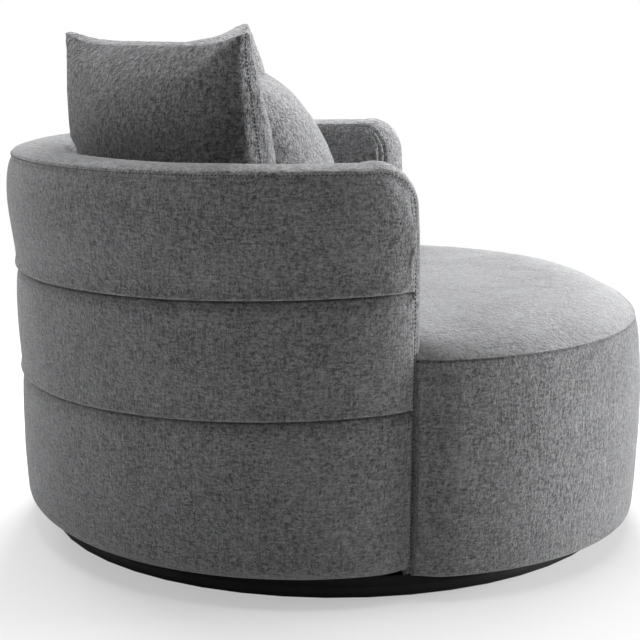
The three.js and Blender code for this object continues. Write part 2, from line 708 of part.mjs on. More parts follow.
function wallPost(from, to, top) {
  const ends = [from, to].map((along) => ({ along, ahead: 0, distance: (1 - Math.abs(along)) * halfLength }));
  const height = Math.min(...ends.map(top)) - FACE_GAP;
  return wallSweep(() => [
    [postOuter, frameBottom],
    [postOuter, height],
    [postInner, height],
    [postInner, frameBottom],
  ], ends);
}

// Rim strip: one crowned strip runs along the top of the wall, over the corner and down each arm front

// Points across the strip: inward distance and how far the surface stands off the wall's edge
const stripSection = (crown) => [
  [0, FACE_GAP],
  ...Array.from({ length: STRIP_STEPS + 1 }, (_, step) => {
    const share = step / STRIP_STEPS;
    const rise = crown * Math.sqrt(Math.sin(Math.PI * share));
    return [rimWidth * share, FACE_GAP + RIM_EDGE_THICKNESS + rise];
  }),
  [rimWidth, FACE_GAP],
];

function rimStrip() {
  return wallSweep(
    (station) => stripSection(RIM_CROWN).map(([inward, height]) => [inward, topEdge(station) + height]),
    longStations(ARM_CORNER_RADIUS + FACE_GAP),
  );
}

function armFront(side) {
  const cornerTop = topEdge(stationAt(side, ARM_CORNER_RADIUS));
  const cornerHeight = cornerTop - ARM_CORNER_RADIUS;
  const rounded = [0, ...cornerAngles.toReversed()].map((angle) => {
    const crown = mix(RIM_CROWN, ARM_FRONT_CROWN, Math.sin(angle));
    return stripSection(crown).map(([inward, height]) => {
      const reach = ARM_CORNER_RADIUS + height;
      const station = stationAt(side, ARM_CORNER_RADIUS - reach * Math.sin(angle));
      return wallPoint(station, cornerHeight + reach * Math.cos(angle), inward);
    });
  });
  const straight = [upperSeamHeight, SEAT_SEAM_HEIGHT, lowerSeamHeight, frameBottom].map((z) =>
    stripSection(ARM_FRONT_CROWN).map(([inward, height]) => wallPoint(stationAt(side, -height), z, inward)));
  return loft([...rounded, ...straight], sectionCap(stripSection(RIM_CROWN)));
}

function addRim() {
  place('rim_strip', rimStrip(), FABRIC);
  place('right_arm_front', armFront(-1), FABRIC);
  place('left_arm_front', armFront(1), FABRIC);
}

// Cushions

// A pillow in the XZ plane that faces -Y: crowned on both faces, thin at the seam, sides drawn in
function pillow(width, height, thickness, fullnessShare) {
  const fullness = (share) => (1 - share * share) ** fullnessShare;
  const surface = (u, v, face) => {
    const spread = 1 - CUSHION_SPREAD_SHARE * v;
    const x = u * spread * (width / 2 - CUSHION_DRAW_IN * (1 - v * v));
    const z = v * (height / 2 - CUSHION_DRAW_IN * (1 - u * u));
    const crown = (thickness / 2 - CUSHION_EDGE_THICKNESS) * fullness(u) * fullness(v);
    return new THREE.Vector3(x, face * (CUSHION_EDGE_THICKNESS + crown), z + height / 2);
  };
  const shares = Array.from({ length: CUSHION_STEPS + 1 }, (_, step) =>
    -Math.cos((Math.PI * step) / CUSHION_STEPS));
  const rings = shares.map((v) => [
    ...shares.map((u) => surface(u, v, -1)),
    ...shares.map((u) => surface(-u, v, 1)),
  ]);
  return loft(rings, pairedCap);
}

const pointsOf = (geometry) => {
  const spots = geometry.attributes.position;
  return Array.from({ length: spots.count }, (_, index) =>
    new THREE.Vector3().fromBufferAttribute(spots, index));
};

// Drops a placed cushion on the seat, so that its lowest point clears the crowned surface by the gap
function settleOnSeat(geometry) {
  const clearances = pointsOf(geometry).map((point) => point.z - seatHeight(point.x, point.y));
  return geometry.translate(0, 0, SOFT_GAP - Math.min(...clearances));
}

// Pushes a placed cushion straight back until it clears the inside of the wall by the gap
function leanOnWall(geometry, facing) {
  const rimTop = TOP_SEAM_HEIGHT + RIM_EDGE_THICKNESS + RIM_CROWN;
  const room = pointsOf(geometry).filter((point) => point.z < rimTop).map((point) => {
    const inset = WALL_THICKNESS + drawInAt(point.z) + CUSHION_WALL_GAP;
    const halfWidth = BACK_HALF_WIDTH - inset;
    const halfDepth = BACK_HALF_DEPTH - inset;
    const back = new THREE.Vector2(-Math.sin(facing) / halfWidth, Math.cos(facing) / halfDepth);
    const from = new THREE.Vector2(point.x / halfWidth, (point.y - BACK_CENTRE_DISTANCE) / halfDepth);
    const along = from.dot(back) / back.lengthSq();
    return Math.sqrt(along ** 2 - (from.lengthSq() - 1) / back.lengthSq()) - along;
  });
  const push = Math.min(...room);
  return geometry.translate(-Math.sin(facing) * push, Math.cos(facing) * push, 0);
}

function backCushion(facing, shift) {
  const width = BACK_CUSHION_WIDTH;
  const standing = pillow(width, BACK_CUSHION_HEIGHT, BACK_CUSHION_THICKNESS, BACK_CUSHION_FULLNESS_SHARE)
    .rotateX(-BACK_CUSHION_LEAN)
    .translate(shift, 0, 0)
    .rotateZ(facing);
  return settleOnSeat(leanOnWall(settleOnSeat(standing), facing));
}

function addCushions() {
  place('right_back_cushion', backCushion(RIGHT_CUSHION_FACING, RIGHT_CUSHION_SHIFT), FABRIC);
  place('left_back_cushion', backCushion(LEFT_CUSHION_FACING, LEFT_CUSHION_SHIFT), FABRIC);
  const thickness = CENTRE_CUSHION_THICKNESS;
  const centre = pillow(CENTRE_CUSHION_WIDTH, CENTRE_CUSHION_HEIGHT, thickness, CENTRE_CUSHION_FULLNESS_SHARE)
    .rotateX(-CENTRE_CUSHION_LEAN)
    .translate(0, CENTRE_CUSHION_PLACE, 0);
  place('centre_cushion', settleOnSeat(centre), FABRIC);
}

addGlides();
addPlinth();
addBearing();
place('platform_board', platformBoard(), PLYWOOD);
addSeatFrame();
addSeat();
addWall();
addRim();
addCushions();

export default group;
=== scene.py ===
"""A round upholstered swivel chair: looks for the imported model, in metres, +Z up, seat facing -Y."""
import json
import math

import bmesh
import bpy
import numpy as np
from mathutils import Matrix, Vector, noise

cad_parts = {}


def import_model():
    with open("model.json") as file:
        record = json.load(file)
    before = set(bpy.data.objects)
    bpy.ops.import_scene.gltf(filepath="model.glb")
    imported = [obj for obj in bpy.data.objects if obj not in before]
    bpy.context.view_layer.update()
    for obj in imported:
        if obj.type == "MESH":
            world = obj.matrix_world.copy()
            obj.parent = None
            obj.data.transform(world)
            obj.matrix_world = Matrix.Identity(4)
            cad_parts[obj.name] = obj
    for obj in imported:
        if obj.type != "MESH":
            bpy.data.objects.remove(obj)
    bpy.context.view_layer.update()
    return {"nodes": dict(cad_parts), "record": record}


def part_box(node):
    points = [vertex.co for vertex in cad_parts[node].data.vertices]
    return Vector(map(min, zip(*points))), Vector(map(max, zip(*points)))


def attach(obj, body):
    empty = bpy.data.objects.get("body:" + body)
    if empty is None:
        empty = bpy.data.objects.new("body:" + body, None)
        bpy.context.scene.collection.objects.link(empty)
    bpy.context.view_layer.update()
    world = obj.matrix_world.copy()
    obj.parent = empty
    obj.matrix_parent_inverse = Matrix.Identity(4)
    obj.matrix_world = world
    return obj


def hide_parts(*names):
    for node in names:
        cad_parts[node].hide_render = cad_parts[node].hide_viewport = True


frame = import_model()
scene = bpy.context.scene

# The wall of the back and arms
TOP_SEAM = 0.729
BAND_HEIGHT = 0.200
UPPER_SEAM = TOP_SEAM - BAND_HEIGHT
LOWER_SEAM = UPPER_SEAM - BAND_HEIGHT
TOP_FALL_SHARE = 0.010
UPPER_FALL_SHARE = 0.031
LOWER_FALL_SHARE = 0.034
HALF_WIDTH = 0.628
HALF_DEPTH = 0.560
CENTRE_BACK = 0.060
DRAW_IN = 0.012
SKIRT_BOTTOM = 0.0468
SKIRT_RADIUS = 0.032
SKIRT_FOLD_DEPTH = 0.075
SKIRT_FOLD_HEIGHT = 0.013
ARM_REACH = 0.140
CORNER_RADIUS = 0.065
WALL_THICKNESS = 0.120
BULGES = {"upper": (0.012, 1.5), "middle": (0.004, 1.0), "lower": (0.003, 1.0)}
PAD_DEPTH = 0.026
PAD_UNEVENNESS = 0.0011
PAD_FADE = 0.02
BAND_GAP = 0.0006
ARC_STEPS = 400
CORNER_STEPS = 16
WALL_STEP = 0.010
FACE_ROWS = 44

# The crease between two bands: the lip of the band above stands out, the band below goes in under it
LIP_OUT = 0.0042
LIP_DEPTH = 0.0085
LIP_HEIGHT = 0.0055
LIP_REACH = 0.014
TUCK_DEPTH = 0.0048
TUCK_REACH = 0.013
SLOT_DEPTH = 0.007
SLOT_REACH = 0.0023
RIM_TUCK_DEPTH = 0.0050
RIM_TUCK_REACH = 0.013

# The strip that runs along the rim and down both arm fronts
RIM_WIDTH = 0.112
RIM_CROWN = 0.0114
RIM_UNEVENNESS = 0.0009
RIM_ROWS = 280
ARM_CROWN = 0.0300
CORNER_CROWN_POWER = 0.9
CORNER_ROWS = 18
ARM_FOOT_STRETCH = 0.27
ARM_FOOT_REACH = 0.080
ARM_FOOT_FALL = 0.010
ARM_FOOT_ROWS = 12
ARM_FRONT_ROWS = 90
ARM_SEAM_SHARE = 0.070
ARM_EDGE_FALL = 0.0125
ARM_EDGE_RADIUS = 0.055
ARM_EDGE_POWER = 2.2
CREASE_REACH = 0.020
CREASE_ROWS = 31
STRIP_SUNK = 0.010
STRIP_COLUMNS = 40
STRIP_EDGE_SHARE = 0.2
STRIP_EDGE_COLUMNS = 26

# The stitched seams
GROOVE_DEPTH = 0.0042
GROOVE_WIDTH = 0.0026
THREAD_SHARE = 0.004
THREAD_RISE = 0.0009
STITCH_LENGTH = 0.0042
STITCH_GAP = 0.0026
STITCH_RADIUS = 0.0011
STITCH_SIDES = 6
STITCH_RINGS = ((0.0, 0.35), (0.15, 0.9), (0.5, 1.0), (0.85, 0.9), (1.0, 0.35))
STITCH_TILT = Vector((0.31, 0.17, 0.93))

# The lining inside the wall
LINING_DEPTH = 0.080
LINING_BOTTOM = 0.310
LINING_FACE_BOTTOM = LINING_BOTTOM + 0.020
LINING_FOOT_IN = 0.004
LINING_SWELL = 0.0015
LINING_ROLL_HEIGHT = 0.040
LINING_ROLL_DEPTH = 0.011
LINING_ROLL_IN = 0.003
LINING_ROLL_START = 0.15
LINING_TOP_GAP = 0.0005
LINING_STEP = 0.012
LINING_ROWS = 24
LINING_ROLL_ROWS = 8

# The drum seat
SEAT_HALF_WIDTH = 0.592
SEAT_FRONT = 0.594
SEAT_BACK = 0.580
SEAT_SQUARENESS = 2.3
SEAT_SEAM = 0.419
SEAT_CROWN = 0.052
SEAT_RISE_POWER, SEAT_RISE_POWER_AHEAD = 7.5, 11.3
SEAT_EDGE_POWER, SEAT_EDGE_POWER_AHEAD = 0.82, 1.6
SEAT_EDGE_IN = 0.004
SEAT_EDGE_IN_POWER = 12
SEAT_LIP_DEPTH = 0.016
SEAT_LIP_DROP = 0.004
SEAT_EDGE_SHARES = (1.0, 0.9985, 0.997, 0.995, 0.9925)
SEAT_INNER_SHARES = (0.99, 0.02)
SEAT_ROWS = 80
SEAT_FADE = 0.125
JOINT_Y = -0.155
JOINT_DENT = 0.014
JOINT_REACH = 0.030
JOINT_POWER = 12
DRUM_STEPS = 288
DRUM_BULGE = 0.011
DRUM_BULGE_POWER = 0.8
DRUM_BOTTOM_RADIUS = 0.014
DRUM_BOTTOM_ROWS = 9
DRUM_FOLD_DEPTH = 0.070
DRUM_FOLD_HEIGHT = 0.060
DRUM_ROLL_REACH = 0.025
DRUM_SEAM_DEPTH = 0.0035
DRUM_SEAM_REACH = 0.004
DRUM_SAG = 0.006
DRUM_SAG_HEIGHT = 0.16
DRUM_SAG_TOP = 0.2
DRUM_SAG_DEPTH = 0.02
DRUM_SAG_OUT_SHARE = 0.6
DRUM_UNEVENNESS = 0.0014
DRUM_FACE_DEPTH = 0.004
CUT_STEP = 0.02
CUT_REACH_SHARE = 0.6
CUT_OUTSIDE, CUT_INSIDE = -0.03, WALL_THICKNESS - 0.001
CUT_BOTTOM, CUT_TOP = -0.02, 0.9

# The plinth
PLINTH_RADIUS = 0.562
PLINTH_INNER_RADIUS = 0.30
PLINTH_BOTTOM = 0.0046
PLINTH_TOP = 0.0408
PLINTH_EASE = 0.003
PLINTH_JOINT_DEPTH = 0.0008
PLINTH_JOINT_HALF_GAP = 0.0007

# The loose cushions
CUSHION_CELLS = 64
CUSHION_EDGE_GATHER = 0.45
CUSHION_TOP_SAG = 0.018
CUSHION_BOTTOM_SAG = 0.004
CUSHION_SAG_POWER = 4
CUSHION_CORNER_CUT = 0.003
CUSHION_CORNER_POWER = 18
CUSHION_EAR_POWERS = (8, 12)
CUSHION_SIT = 0.006
CUSHION_EDGE = 0.0065
CUSHION_SEAM_DEPTH = 0.0055
CUSHION_THREAD_OUT = 0.0008
CUSHION_START_SHARE = 0.95
CUSHION_PRESSURE = 2.5
CUSHION_FILL_FRAMES = 20
CUSHION_CAP = 0.007
PUCKER_LENGTH = 0.021
PUCKER_HEIGHT = 0.0017
PUCKER_REACH = 0.020
PUCKER_EDGE = 0.006
FOLD_HEIGHT = 0.0032
FOLD_REACH = 0.14
FOLD_EDGE = 0.02
LUMP_HEIGHT, LUMP_EDGE = 0.0022, 0.05
RIPPLE_HEIGHT, RIPPLE_EDGE = 0.0009, 0.03
CUSHION_WALL_GAP = 0.003
CUSHION_SEAT_GAP = 0.0006
CUSHION_SOFTENING = 0.015
RIM_CLEAR_HEIGHT = 0.750
RIM_CLEAR_FADE = 0.025

# The camera, solved from the photo, with its focal length in pixels
PHOTO_WIDTH = 640
FOCAL_PIXELS = 1501.8
SENSOR_WIDTH = 36.0
CAMERA_PLACE = (-2.9685, -0.0577, 0.9601)
CAMERA_YAW, CAMERA_PITCH, CAMERA_ROLL = -0.0278, 0.1949, 0.0006
CAMERA_CLIP = 60

# Floor, world and lamps
FLOOR_HALF = 30
FLOOR_GREY = (0.86, 0.86, 0.86)
WHITE = (1, 1, 1)
WHITE_FROM, WHITE_TO = 0.75, 2.6
WHITE_LEAST = 0.45
WORLD_STRENGTH = 0.122
LIGHT_AIM = (0, 0, 0.4)


# Small sums
def smooth_noise(point, scale, seed=0.0):
    """Smooth noise of a place, from about -1 to 1."""
    return noise.noise(Vector(point) * scale + Vector((seed, seed * 1.7, -seed)))


def hump(away, reach):
    """1 on a line and falling smoothly to 0 away from it."""
    return math.exp(-(away / reach) ** 2)


def round_fall(height, radius):
    """How far a quarter-round edge has fallen back: 1 at its foot and 0 from its full height up."""
    up = min(height / radius, 1.0)
    return 1 - math.sqrt(max(1 - (1 - up) ** 2, 0.0))


def signed_power(value, power):
    return math.copysign(abs(value) ** power, value)


def spaced(low, high, count, gathered=0.75):
    """Places from low to high that lie closer together near both ends."""
    shares = 0.5 - 0.5 * np.cos(np.linspace(0, math.pi, count))
    return low + (high - low) * (gathered * shares + (1 - gathered) * np.linspace(0, 1, count))


# Materials
class Nodes:
    """Short ways to build the node tree of a material or of the world."""

    def __init__(self, owner, output):
        self.owner = owner
        owner.use_nodes = True
        self.tree = owner.node_tree
        self.tree.nodes.clear()
        self.out = self.add(output)

    def add(self, kind, **props):
        node = self.tree.nodes.new(kind)
        for key, value in props.items():
            setattr(node, key, value)
        return node

    def link(self, output, socket):
        self.tree.links.new(output, socket)

    def feed(self, node, socket, value):
        """Joins a socket to another node's output, or sets it to a number or a colour."""
        if hasattr(value, "is_linked"):
            self.link(value, node.inputs[socket])
        elif isinstance(value, tuple):
            node.inputs[socket].default_value = (*value, 1)
        else:
            node.inputs[socket].default_value = value

    def mapping(self, scale=(1, 1, 1)):
        """The object's own coordinates, scaled."""
        node = self.add("ShaderNodeMapping")
        node.inputs["Scale"].default_value = scale
        self.link(self.add("ShaderNodeTexCoord").outputs["Object"], node.inputs["Vector"])
        return node.outputs["Vector"]

    def noise(self, vector, scale, detail=2.0, roughness=0.5, distortion=0.0):
        node = self.add("ShaderNodeTexNoise")
        self.link(vector, node.inputs["Vector"])
        node.inputs["Scale"].default_value = scale
        node.inputs["Detail"].default_value = detail
        node.inputs["Roughness"].default_value = roughness
        node.inputs["Distortion"].default_value = distortion
        return node.outputs["Fac"]

    def stripes(self, vector, direction, scale):
        node = self.add("ShaderNodeTexWave", wave_type="BANDS", bands_direction=direction)
        self.link(vector, node.inputs["Vector"])
        node.inputs["Scale"].default_value = scale
        return node.outputs["Fac"]

    def math(self, operation, first, second=0.0, clamp=False):
        node = self.add("ShaderNodeMath", operation=operation, use_clamp=clamp)
        self.feed(node, 0, first)
        self.feed(node, 1, second)
        return node.outputs[0]

    def total(self, *parts):
        """The sum of several outputs, each with its own share."""
        scaled = [self.math("MULTIPLY", value, share) for value, share in parts]
        total = scaled[0]
        for value in scaled[1:]:
            total = self.math("ADD", total, value)
        return total

    def ramp(self, value, low, high, to_low=0.0, to_high=1.0):
        node = self.add("ShaderNodeMapRange", clamp=True)
        self.feed(node, "Value", value)
        node.inputs["From Min"].default_value = low
        node.inputs["From Max"].default_value = high
        node.inputs["To Min"].default_value = to_low
        node.inputs["To Max"].default_value = to_high
        return node.outputs["Result"]

    def mix(self, factor, first, second):
        node = self.add("ShaderNodeMix", data_type="RGBA")
        self.feed(node, 0, factor)
        self.feed(node, 6, first)
        self.feed(node, 7, second)
        return node.outputs[2]

    def mix_shaders(self, factor, first, second):
        node = self.add("ShaderNodeMixShader")
        self.feed(node, 0, factor)
        self.link(first, node.inputs[1])
        self.link(second, node.inputs[2])
        return node.outputs[0]

    def bump(self, height, strength, distance, normal=None):
        node = self.add("ShaderNodeBump")
        node.inputs["Strength"].default_value = strength
        node.inputs["Distance"].default_value = distance
        self.link(height, node.inputs["Height"])
        if normal is not None:
            self.link(normal, node.inputs["Normal"])
        return node.outputs["Normal"]

    def shader(self, colour, roughness, normal, **sockets):
        node = self.add("ShaderNodeBsdfPrincipled")
        self.feed(node, "Base Color", colour)
        self.feed(node, "Roughness", roughness)
        self.link(normal, node.inputs["Normal"])
        for key, value in sockets.items():
            self.feed(node, key.replace("_", " "), value)
        self.surface(node.outputs[0])

    def surface(self, output):
        self.link(output, self.out.inputs["Surface"])


def material_nodes(name):
    return Nodes(bpy.data.materials.new(name), "ShaderNodeOutputMaterial")


def fabric(name, dark, light, streak, weft=0.26, patch=0.35, contrast=1.0, tuft=170, relief=1.0):
    """Short dense pile: fine mottled grain, faint upright streaks, brushed patches and a soft sheen."""
    nodes = material_nodes(name)
    plain = nodes.mapping()
    upright = nodes.mapping((1, 1, 0.22))
    across = nodes.mapping((0.4, 0.4, 1.6))
    grain = nodes.noise(plain, scale=420, detail=2, roughness=0.7)
    clump = nodes.noise(plain, scale=tuft, detail=3, roughness=0.65, distortion=0.5)
    streaks = nodes.noise(upright, scale=230, detail=3, roughness=0.6, distortion=0.3)
    rows = nodes.noise(across, scale=190, detail=2, roughness=0.5, distortion=0.2)
    patches = nodes.noise(plain, scale=9, detail=4, roughness=0.55, distortion=0.6)
    worn = nodes.noise(plain, scale=34, detail=3, roughness=0.55, distortion=0.4)
    parts = ((grain, 0.36), (clump, 0.34), (streaks, 0.40 * streak), (rows, weft))
    middle = 0.5 * sum(share for output, share in parts)
    half = 0.115 / contrast
    spread = nodes.ramp(nodes.total(*parts), middle - half, middle + half)
    broad = nodes.math("SUBTRACT", nodes.total((patches, patch), (worn, 0.2)), 0.27)
    shade = nodes.math("ADD", nodes.math("MULTIPLY", spread, 0.80), broad, clamp=True)
    normal = nodes.bump(grain, strength=0.85, distance=0.0030)
    normal = nodes.bump(clump, strength=0.85, distance=0.0055 * relief, normal=normal)
    normal = nodes.bump(streaks, strength=0.6, distance=0.0040, normal=normal)
    normal = nodes.bump(worn, strength=0.25, distance=0.006, normal=normal)
    nodes.shader(
        nodes.mix(shade, dark, light), 0.95, normal,
        Sheen_Weight=0.55, Sheen_Roughness=0.4, Sheen_Tint=(0.9, 0.9, 0.92), Specular_IOR_Level=0.12)
    return nodes.owner


# Near-black thread for the stitches: partly the thread's own colour, partly painted shade of the seams'
# dark lines.
def seam_thread():
    dark, light = (0.010, 0.010, 0.011), (0.030, 0.030, 0.032)
    nodes = material_nodes("seam_thread")
    ply = nodes.noise(nodes.mapping(), scale=900)
    normal = nodes.bump(ply, strength=0.4, distance=0.0006)
    nodes.shader(nodes.mix(ply, dark, light), 0.8, normal, Sheen_Weight=0.2)
    return nodes.owner


def plywood():
    dark, light = (0.36, 0.21, 0.09), (0.56, 0.38, 0.20)
    nodes = material_nodes("plywood")
    rings = nodes.noise(nodes.mapping((3, 3, 26)), scale=5, detail=5, roughness=0.6, distortion=1.2)
    pores = nodes.noise(nodes.mapping((30, 30, 380)), scale=3, detail=3, roughness=0.6)
    shade = nodes.ramp(nodes.total((rings, 0.75), (pores, 0.25)), 0.35, 0.65)
    roughness = nodes.ramp(pores, 0.3, 0.7, to_low=0.55, to_high=0.8)
    normal = nodes.bump(pores, strength=0.3, distance=0.0008)
    nodes.shader(nodes.mix(shade, dark, light), roughness, normal)
    return nodes.owner


def plinth_black():
    dark, light = (0.0035, 0.0035, 0.0035), (0.008, 0.008, 0.008)
    nodes = material_nodes("plinth_black")
    grain = nodes.noise(nodes.mapping((4, 4, 60)), scale=20, detail=3)
    dust = nodes.noise(nodes.mapping(), scale=40, detail=4, roughness=0.6)
    roughness = nodes.ramp(dust, 0.3, 0.7, to_low=0.62, to_high=0.8)
    normal = nodes.bump(grain, strength=0.2, distance=0.0006)
    nodes.shader(nodes.mix(dust, dark, light), roughness, normal, Specular_IOR_Level=0.18)
    return nodes.owner


def zinc_steel():
    dark, light = (0.42, 0.43, 0.45), (0.62, 0.63, 0.65)
    nodes = material_nodes("zinc_steel")
    spangle = nodes.noise(nodes.mapping(), scale=90)
    lines = nodes.noise(nodes.mapping((500, 14, 14)), scale=1)
    shade = nodes.total((spangle, 0.6), (lines, 0.4))
    roughness = nodes.ramp(shade, 0.3, 0.7, to_low=0.28, to_high=0.45)
    normal = nodes.bump(lines, strength=0.15, distance=0.0004)
    nodes.shader(nodes.mix(shade, dark, light), roughness, normal, Metallic=1.0)
    return nodes.owner


def black_nylon():
    dark, light = (0.011, 0.011, 0.012), (0.02, 0.02, 0.021)
    nodes = material_nodes("black_nylon")
    fine = nodes.noise(nodes.mapping(), scale=700)
    roughness = nodes.ramp(fine, 0.3, 0.7, to_low=0.5, to_high=0.62)
    normal = nodes.bump(fine, strength=0.25, distance=0.0003)
    nodes.shader(nodes.mix(fine, dark, light), roughness, normal)
    return nodes.owner


def open_foam():
    hollow, fresh, aged = (0.45, 0.39, 0.25), (0.72, 0.66, 0.46), (0.78, 0.73, 0.55)
    nodes = material_nodes("open_foam")
    cells = nodes.noise(nodes.mapping(), scale=420, detail=3, roughness=0.65)
    age = nodes.noise(nodes.mapping(), scale=5, detail=3)
    colour = nodes.mix(nodes.ramp(cells, 0.4, 0.6), hollow, nodes.mix(age, fresh, aged))
    nodes.shader(colour, 0.95, nodes.bump(cells, strength=0.6, distance=0.0015))
    return nodes.owner


def elastic_webbing():
    dark, light = (0.012, 0.012, 0.011), (0.045, 0.043, 0.04)
    nodes = material_nodes("elastic_webbing")
    plain = nodes.mapping()
    warp = nodes.stripes(plain, "X", scale=90)
    weft = nodes.stripes(plain, "Y", scale=130)
    weave = nodes.math("MULTIPLY", warp, weft)
    nodes.shader(nodes.mix(weave, dark, light), 0.85, nodes.bump(weave, strength=0.5, distance=0.0008))
    return nodes.owner


DARK, LIGHT = (0.062, 0.063, 0.065), (0.330, 0.332, 0.337)
# The rim strip and the lining get a lighter copy of the same cloth, LIGHT times this gain: painted light on
# those faces.
PAINTED_LIGHT_GAIN = 1.15
PAINTED_LIGHT_TONE = tuple(PAINTED_LIGHT_GAIN * part for part in LIGHT)
WALL_CLOTH = fabric("wall_cloth", DARK, LIGHT, streak=0.4, contrast=1.3)
STRIP_CLOTH_PAINTED_LIGHT = fabric("strip_cloth_painted_light", DARK, PAINTED_LIGHT_TONE, streak=0.4, contrast=1.3)
SEAT_CLOTH = fabric(
    "seat_cloth", DARK, LIGHT, streak=0.3, weft=0.14, patch=0.6, contrast=0.85, tuft=110, relief=0.8)
CUSHION_CLOTH = fabric("cushion_cloth", DARK, LIGHT, streak=0.35, contrast=1.7, tuft=115, relief=2.2)
THREAD = seam_thread()
BLACK = plinth_black()
BY_SLOT = {
    "plywood": plywood(), "plinth_board": BLACK, "steel": zinc_steel(), "nylon": black_nylon(),
    "foam": open_foam(), "webbing": elastic_webbing(), "upholstery": WALL_CLOTH, "cushion": CUSHION_CLOTH,
}


def dress_solids():
    """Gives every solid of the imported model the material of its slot."""
    for row in frame["record"]["subparts"]:
        mesh = frame["nodes"][row["node"]].data
        mesh.materials.clear()
        mesh.materials.append(BY_SLOT[row["material_slot"]])


dress_solids()


# Mesh helpers
def mesh_object(name, vertices, faces, material, merge=True):
    """A smooth mesh with its faces turned outward."""
    mesh = bpy.data.meshes.new(name)
    mesh.from_pydata([tuple(v) for v in vertices], [], [tuple(f) for f in faces])
    mesh.validate()
    made = bmesh.new()
    made.from_mesh(mesh)
    if merge:
        bmesh.ops.remove_doubles(made, verts=made.verts, dist=1e-6)
    bmesh.ops.recalc_face_normals(made, faces=made.faces)
    if made.calc_volume(signed=True) < 0:
        bmesh.ops.reverse_faces(made, faces=made.faces)
    made.to_mesh(mesh)
    made.free()
    shade_smooth(mesh)
    mesh.materials.append(material)
    obj = bpy.data.objects.new(name, mesh)
    scene.collection.objects.link(obj)
    return obj


def shade_smooth(mesh):
    mesh.polygons.foreach_set("use_smooth", [True] * len(mesh.polygons))


def grid_object(name, rows, material, close_rows=False, close_columns=False, caps=False):
    """A surface through rows of points. Rows and columns may each close on themselves."""
    count, across = len(rows), len(rows[0])
    vertices = [p for row in rows for p in row]
    faces = []
    for i in range(count if close_rows else count - 1):
        for j in range(across if close_columns else across - 1):
            here, there = i * across, ((i + 1) % count) * across
            following = (j + 1) % across
            faces.append((here + j, here + following, there + following, there + j))
    if caps:
        faces.append(tuple(range(across)))
        faces.append(tuple(range((count - 1) * across, count * across)))
    return mesh_object(name, vertices, faces, material)


def declare(obj, body, slot, *nodes, fill=None):
    """Attaches a piece to the body it rides on and hides the solids it replaces; slot and fill are not
    used.
    """
    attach(obj, body)
    if nodes:
        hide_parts(*nodes)


def apply_modifiers(piece):
    depsgraph = bpy.context.evaluated_depsgraph_get()
    made = bpy.data.meshes.new_from_object(piece.evaluated_get(depsgraph))
    old = piece.data
    piece.modifiers.clear()
    piece.data = made
    bpy.data.meshes.remove(old)
    made.name = piece.name


def cut_with(piece, cutter):
    modifier = piece.modifiers.new("cut", "BOOLEAN")
    modifier.operation = "DIFFERENCE"
    modifier.solver = "EXACT"
    modifier.object = cutter
    apply_modifiers(piece)


def stitches(name, line):
    """Short threads that lie end to end along a line of points."""
    steps = [0.0]
    for start, stop in zip(line, line[1:]):
        steps.append(steps[-1] + (stop - start).length)
    xyz = np.array([tuple(p) for p in line])

    def at(distance):
        return Vector([float(np.interp(distance, steps, xyz[:, axis])) for axis in range(3)])

    vertices, faces = [], []
    place = 0.0
    while place + STITCH_LENGTH < steps[-1]:
        add_stitch(vertices, faces, at(place), at(place + STITCH_LENGTH))
        place += STITCH_LENGTH + STITCH_GAP
    return mesh_object(name, vertices, faces, THREAD)


def add_stitch(vertices, faces, start, stop):
    """One thread, thinner at both ends."""
    ahead = (stop - start).normalized()
    side = ahead.cross(STITCH_TILT).normalized()
    up = ahead.cross(side)
    first = len(vertices)
    for share, width in STITCH_RINGS:
        centre = start.lerp(stop, share)
        for corner in range(STITCH_SIDES):
            angle = corner * 2 * math.pi / STITCH_SIDES
            spoke = side * math.cos(angle) + up * math.sin(angle)
            vertices.append(centre + spoke * STITCH_RADIUS * width)
    for ring in range(len(STITCH_RINGS) - 1):
        low = first + ring * STITCH_SIDES
        for corner in range(STITCH_SIDES):
            here, there = low + corner, low + (corner + 1) % STITCH_SIDES
            faces.append((here, there, there + STITCH_SIDES, here + STITCH_SIDES))
    last = first + (len(STITCH_RINGS) - 1) * STITCH_SIDES
    faces.append(tuple(range(first, first + STITCH_SIDES)))
    faces.append(tuple(range(last, last + STITCH_SIDES)))


# Places on the wall
def taper(z):
    """How far in the wall stands at a height, since it leans a little from its top to its foot."""
    return DRAW_IN * (TOP_SEAM - z) / (TOP_SEAM - SKIRT_BOTTOM)


def wall_at(angle, z, inward, ahead=0.0):
    """A point of the wall. Angle zero is the middle of the back, inward is from the outside."""
    depth = inward + taper(z)
    normal = Vector((math.sin(angle) / HALF_WIDTH, math.cos(angle) / HALF_DEPTH)).normalized()
    forward = math.copysign(ahead, angle)
    x = HALF_WIDTH * math.sin(angle) - normal.x * depth + normal.y * forward
    y = CENTRE_BACK + HALF_DEPTH * math.cos(angle) - normal.y * depth - normal.x * forward
    return Vector((x, y, z))


END_ANGLE = math.acos(-(ARM_REACH + CENTRE_BACK) / HALF_DEPTH)
ARC_ANGLES = np.linspace(0, END_ANGLE, ARC_STEPS + 1)
ARC_POINTS = np.array([wall_at(angle, TOP_SEAM, 0.0)[:2] for angle in ARC_ANGLES])
ARC_LENGTHS = np.concatenate([[0], np.cumsum(np.linalg.norm(np.diff(ARC_POINTS, axis=0), axis=1))])
HALF_LENGTH = float(ARC_LENGTHS[-1])
FLAT_LENGTH = HALF_LENGTH - CORNER_RADIUS


def wall_point(s, z, inward):
    """s is the length along the wall from the middle of the back, positive towards the left arm."""
    ahead = max(abs(s) - HALF_LENGTH, 0.0)
    angle = float(np.interp(abs(s), ARC_LENGTHS, ARC_ANGLES))
    return wall_at(math.copysign(angle, s), z, inward, ahead)


def depth_at(s):
    return wall_point(s, TOP_SEAM, 0.0).y


